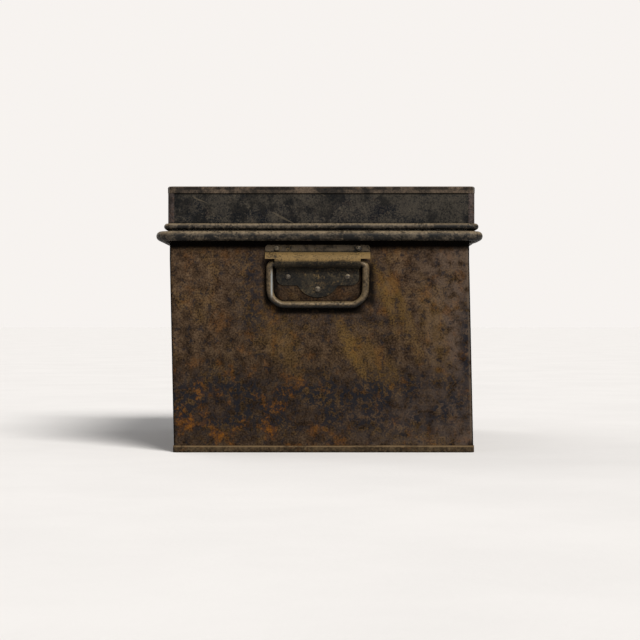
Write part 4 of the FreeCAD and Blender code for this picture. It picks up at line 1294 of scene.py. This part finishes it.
class RivetMaker:
    """A Geometry Nodes tree that sets domed rivets on the faces of a mesh."""

    def __init__(self, material: bpy.types.Material) -> None:
        """Build the tree once.

        Args:
            material: Finish of the rivets.
        """
        tree = bpy.data.node_groups.new("domed_rivets", "GeometryNodeTree")
        face = tree.interface
        face.new_socket("Geometry", in_out="INPUT", socket_type="NodeSocketGeometry")
        self.sockets = {}
        for label, value in (("Head radius", 2.9 * MM), ("Dome height", 1.4 * MM),
                             ("Shank radius", 1.5 * MM), ("Grip", 2.0 * MM),
                             ("Tail radius", 2.4 * MM), ("Tail depth", 0.8 * MM)):
            socket = face.new_socket(label, in_out="INPUT", socket_type="NodeSocketFloat")
            socket.default_value = value
            self.sockets[label] = socket.identifier
        face.new_socket("Geometry", in_out="OUTPUT", socket_type="NodeSocketGeometry")
        self.tree = tree
        self.link = tree.links.new
        self._wire(material)

    def _add(self, kind: str, **settings: object) -> bpy.types.Node:
        """Add a node to the tree."""
        item = self.tree.nodes.new(kind)
        for key, value in settings.items():
            setattr(item, key, value)
        return item

    def _wire(self, material: bpy.types.Material) -> None:
        """Lay and link the nodes of the tree."""
        link = self.link
        entry = self._add("NodeGroupInput")
        join = self._add("GeometryNodeJoinGeometry")
        for part in (self._dome(entry.outputs["Head radius"], entry.outputs["Dome height"]),
                     self._rod(entry.outputs["Shank radius"], entry.outputs["Grip"], None),
                     self._rod(entry.outputs["Tail radius"], entry.outputs["Tail depth"],
                               entry.outputs["Grip"])):
            link(part, join.inputs[0])

        keep = self._add("GeometryNodeCaptureAttribute", domain="FACE")
        keep.capture_items.new("VECTOR", "Normal")
        link(entry.outputs["Geometry"], keep.inputs["Geometry"])
        link(self._add("GeometryNodeInputNormal").outputs[0], keep.inputs[1])
        spots = self._add("GeometryNodeMeshToPoints", mode="FACES")
        link(keep.outputs["Geometry"], spots.inputs["Mesh"])
        align = self._add("FunctionNodeAlignRotationToVector", axis="Z")
        link(keep.outputs[1], align.inputs["Vector"])
        points = self._add("GeometryNodeInstanceOnPoints")
        link(spots.outputs[0], points.inputs["Points"])
        link(join.outputs[0], points.inputs["Instance"])
        link(align.outputs[0], points.inputs["Rotation"])
        real = self._add("GeometryNodeRealizeInstances")
        link(points.outputs[0], real.inputs[0])
        smooth = self._add("GeometryNodeSetShadeSmooth")
        link(real.outputs[0], smooth.inputs[0])
        paint = self._add("GeometryNodeSetMaterial")
        paint.inputs["Material"].default_value = material
        link(smooth.outputs[0], paint.inputs[0])
        link(paint.outputs[0], self._add("NodeGroupOutput").inputs[0])

    def _dome(self, radius: Socket, height: Socket) -> Socket:
        """A ball pressed flat from below and sized to a head."""
        ball = self._add("GeometryNodeMeshUVSphere")
        for label, value in (("Segments", 28), ("Rings", 14), ("Radius", 1.0)):
            ball.inputs[label].default_value = value
        parts = self._add("ShaderNodeSeparateXYZ")
        self.link(self._add("GeometryNodeInputPosition").outputs[0], parts.inputs[0])
        below = self._add("FunctionNodeCompare", operation="LESS_THAN")
        self.link(parts.outputs[2], below.inputs[0])
        below.inputs[1].default_value = 0.0
        flat = self._add("ShaderNodeCombineXYZ")
        size = self._add("ShaderNodeCombineXYZ")
        for axis in (0, 1):
            self.link(parts.outputs[axis], flat.inputs[axis])
            self.link(radius, size.inputs[axis])
        self.link(height, size.inputs[2])
        press = self._add("GeometryNodeSetPosition")
        self.link(ball.outputs["Mesh"], press.inputs["Geometry"])
        self.link(below.outputs[0], press.inputs["Selection"])
        self.link(flat.outputs[0], press.inputs["Position"])
        dome = self._add("GeometryNodeTransform")
        self.link(press.outputs[0], dome.inputs["Geometry"])
        self.link(size.outputs[0], dome.inputs["Scale"])
        return dome.outputs[0]

    def _rod(self, radius: Socket, depth: Socket, under: Socket | None) -> Socket:
        """A round bar that hangs from zero, or from under the grip."""
        bar = self._add("GeometryNodeMeshCylinder")
        bar.inputs["Vertices"].default_value = 24
        self.link(radius, bar.inputs["Radius"])
        self.link(depth, bar.inputs["Depth"])
        half = self._add("ShaderNodeMath", operation="MULTIPLY")
        self.link(depth, half.inputs[0])
        half.inputs[1].default_value = -0.5
        drop = half.outputs[0]
        if under is not None:
            lower = self._add("ShaderNodeMath", operation="SUBTRACT")
            self.link(drop, lower.inputs[0])
            self.link(under, lower.inputs[1])
            drop = lower.outputs[0]
        shift = self._add("ShaderNodeCombineXYZ")
        self.link(drop, shift.inputs[2])
        move = self._add("GeometryNodeTransform")
        self.link(bar.outputs["Mesh"], move.inputs["Geometry"])
        self.link(shift.outputs[0], move.inputs["Translation"])
        return move.outputs[0]

    def make(self, name: str, spots: Sequence[tuple[Vector, Vector]],
             sizes: dict[str, float]) -> bpy.types.Object:
        """Set rivets on spots and return a plain mesh object.

        Args:
            name: Name of the piece.
            spots: Place and outward direction of each rivet.
            sizes: Values for the tree's named inputs.

        Returns:
            The finished object.
        """
        seed = bmesh.new()
        for place, out in spots:
            across = out.orthogonal().normalized() * 1e-5
            up = out.cross(across)
            face = seed.faces.new([seed.verts.new(place + across), seed.verts.new(place + up),
                                   seed.verts.new(place - across - up)])
            face.normal_update()
            if face.normal.dot(out) < 0:
                face.normal_flip()
        data = bpy.data.meshes.new(name)
        seed.to_mesh(data)
        seed.free()
        item = bpy.data.objects.new(name, data)
        bpy.context.scene.collection.objects.link(item)
        modifier = item.modifiers.new("rivets", "NODES")
        modifier.node_group = self.tree
        for label, value in sizes.items():
            modifier[self.sockets[label]] = value
        applied(item, name)
        for face in item.data.polygons:
            face.use_smooth = True
        return item


@dataclass
class Rivets:
    """Every group of rivets on the box."""

    finishes: Finishes
    end_face: float = 200.0 * MM
    plate: float = 1.0 * MM
    middle: float = -1.8 * MM
    hinge_middle: float = 120.0 * MM
    hinge_pitch: float = 22.0 * MM
    sizes: dict[str, float] = field(default_factory=lambda: {
        "Head radius": 2.9 * MM, "Dome height": 1.4 * MM, "Shank radius": 1.5 * MM,
        "Tail radius": 2.5 * MM, "Tail depth": 0.8 * MM})

    def build(self) -> None:
        """Build the groups."""
        maker = RivetMaker(self.finishes.rivet)
        for end in End:
            self.handle_group(maker, end)
        back = Vector((1.0, 0.0, 0.0))
        along = [side * self.hinge_middle + step * self.hinge_pitch
                 for side in (1, -1) for step in (1, -1)]
        for name, node, body, x, z, grip in (
                ("hinge_rivets_lower", "hinge_rivets_body", Body.BOX, 150.5 * MM, 202.0 * MM,
                 4.5 * MM),
                ("hinge_rivets_upper", "hinge_rivets_lid", Body.LID, 155.0 * MM, 238.7 * MM,
                 2.4 * MM)):
            item = maker.make(name, [(Vector((x, y, z)), back) for y in along],
                              {**self.sizes, "Grip": grip})
            settle(item, body, node)
        for node in ("lock_rivets", "staple_rivets"):
            dress(node, self.finishes.rivet)

    def handle_group(self, maker: RivetMaker, end: End) -> None:
        """Five rivets of one handle plate: two through the flange, three through the tongue."""
        out = Vector((0.0, end.value, 0.0))
        y = end.value * (self.end_face + self.plate)
        flange = [(-40.8 * MM, 202.2 * MM), (40.8 * MM, 202.2 * MM)]
        tongue = [(-29.7 * MM, 174.1 * MM), (29.7 * MM, 174.1 * MM), (0.0, 161.9 * MM)]
        whole = bmesh.new()
        for name, places, grip in (("long_rivets", flange, 4.0 * MM),
                                   ("short_rivets", tongue, 2.0 * MM)):
            spots = [(Vector((self.middle + x, y, z)), out) for x, z in places]
            item = maker.make(name, spots, {**self.sizes, "Grip": grip})
            whole.from_mesh(item.data)
            bpy.data.objects.remove(item)
        tag = end.name.lower()
        item = piece_from(f"handle_rivet_set_{tag}", [whole], self.finishes.rivet)
        settle(item, Body.BOX, f"handle_rivets_{tag}")


@dataclass
class Hardware:
    """Hinges, lock and escutcheon."""

    finishes: Finishes

    def build(self) -> None:
        """Build and dress every piece."""
        brass, hinge, steel, tin = (self.finishes.brass, self.finishes.hinge,
                                    self.finishes.steel, self.finishes.tin)
        for node, name, material, edge, body, slot in (
                ("hinge_leaves_body", "hinge_halves_lower", hinge, 0.25 * MM, Body.BOX,
                 "hinge_steel"),
                ("hinge_leaves_lid", "hinge_halves_upper", hinge, 0.25 * MM, Body.LID,
                 "hinge_steel"),
                ("escutcheon", "keyhole_plate", brass, 0.25 * MM, Body.BOX, "lock_brass"),
                ("lock_case", "lock_box", tin, 0.3 * MM, Body.BOX, "inner_tin"),
                ("lock_cover", "lock_lid", tin, 0.3 * MM, Body.BOX, "inner_tin"),
                ("lock_bolt", "bolt_bar", brass, 0.2 * MM, Body.BOLT, "lock_brass")):
            ease(node, name, material, edge, body)
        for node, material in (("hinge_pins", steel), ("bolt_rails", tin), ("key_post", steel),
                               ("key_wards", brass), ("escutcheon_pins", brass)):
            dress(node, material)


# ---------------------------------------------------------------------------
# Stage
# ---------------------------------------------------------------------------


@dataclass
class Studio:
    """Pale floor, soft light and the camera."""

    pale: Colour = (0.790, 0.768, 0.750)
    backdrop: Colour = (0.930, 0.896, 0.868)
    room_light: Colour = (0.97, 0.98, 1.0)
    room: float = 0.30
    sunlight: Colour = (1.0, 0.985, 0.96)
    end_face: float = 200.0 * MM
    distance: float = 1.765
    lens: float = 100.0
    eye: float = 131.5 * MM
    aside: float = 0.5 * MM

    def build(self) -> None:
        """Build the stage."""
        self.floor()
        self.world()
        self.sun("window", (0.40, -0.72, 0.62), 4.1, 26.0)
        self.sun("rear_window", (-0.60, 0.70, 0.40), 0.8, 60.0)
        self.camera()

    def floor(self) -> None:
        """A wide plain floor."""
        data = bpy.data.meshes.new("floor")
        count, radius = 96, 30.0
        corners = [(radius * math.cos(2 * math.pi * k / count),
                    radius * math.sin(2 * math.pi * k / count), 0.0) for k in range(count)]
        data.from_pydata(corners, [], [list(range(count))])
        item = bpy.data.objects.new("floor", data)
        bpy.context.scene.collection.objects.link(item)
        graph = Graph("pale_plaster")
        cloud = graph.noise(5.0, 6.0, 0.6)
        grain = graph.noise(160.0, 4.0, 0.6)
        colour = graph.mix(graph.step(cloud, 0.3, 0.7), tuple(0.96 * c for c in self.pale),
                           self.pale)
        data.materials.append(graph.finish(colour, 0.95, 0.0, grain, 0.2 * MM, 0.0))

    def world(self) -> None:
        """Even pale surroundings, dimmer as a light than as a backdrop."""
        world = bpy.data.worlds.new("pale_room")
        world.use_nodes = True
        tree = world.node_tree
        tree.nodes.clear()
        path = tree.nodes.new("ShaderNodeLightPath")
        mix = tree.nodes.new("ShaderNodeMixShader")
        tree.links.new(path.outputs["Is Camera Ray"], mix.inputs[0])
        for place, colour, strength in ((1, self.room_light, self.room),
                                        (2, self.backdrop, 1.0)):
            part = tree.nodes.new("ShaderNodeBackground")
            part.inputs["Color"].default_value = (*colour, 1.0)
            part.inputs["Strength"].default_value = strength
            tree.links.new(part.outputs[0], mix.inputs[place])
        end = tree.nodes.new("ShaderNodeOutputWorld")
        tree.links.new(mix.outputs[0], end.inputs[0])
        bpy.context.scene.world = world

    def sun(self, name: str, toward: Sequence[float], strength: float,
            softness: float) -> None:
        """A broad soft window light from far off.

        Args:
            name: Name of the light.
            toward: Direction from the box to the light.
            strength: Strength of the light.
            softness: Apparent size of the light in degrees.
        """
        data = bpy.data.lights.new(name, "SUN")
        data.energy = strength
        data.angle = math.radians(softness)
        data.color = self.sunlight
        item = bpy.data.objects.new(name, data)
        item.rotation_euler = Vector(toward).to_track_quat("Z", "Y").to_euler()
        bpy.context.scene.collection.objects.link(item)

    def camera(self) -> None:
        """A level camera square to the near end."""
        data = bpy.data.cameras.new("eye")
        data.lens = self.lens
        data.sensor_width = 36.0
        item = bpy.data.objects.new("eye", data)
        item.location = (self.aside, -self.end_face - self.distance, self.eye)
        item.rotation_euler = (math.radians(90.0), 0.0, 0.0)
        bpy.context.scene.collection.objects.link(item)
        bpy.context.scene.camera = item


def main() -> None:
    """Build the box and the stage."""
    logging.basicConfig(level=logging.INFO, format="%(name)s %(message)s")
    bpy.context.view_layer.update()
    finishes = Finishes()
    Carcass(finishes).build()
    Lid(finishes).build()
    for end in End:
        Handle(finishes, end).build()
    Rivets(finishes).build()
    Hardware(finishes).build()
    Studio().build()
    bpy.context.scene.view_settings.view_transform = "Standard"


if __name__ == "__main__":
    main()
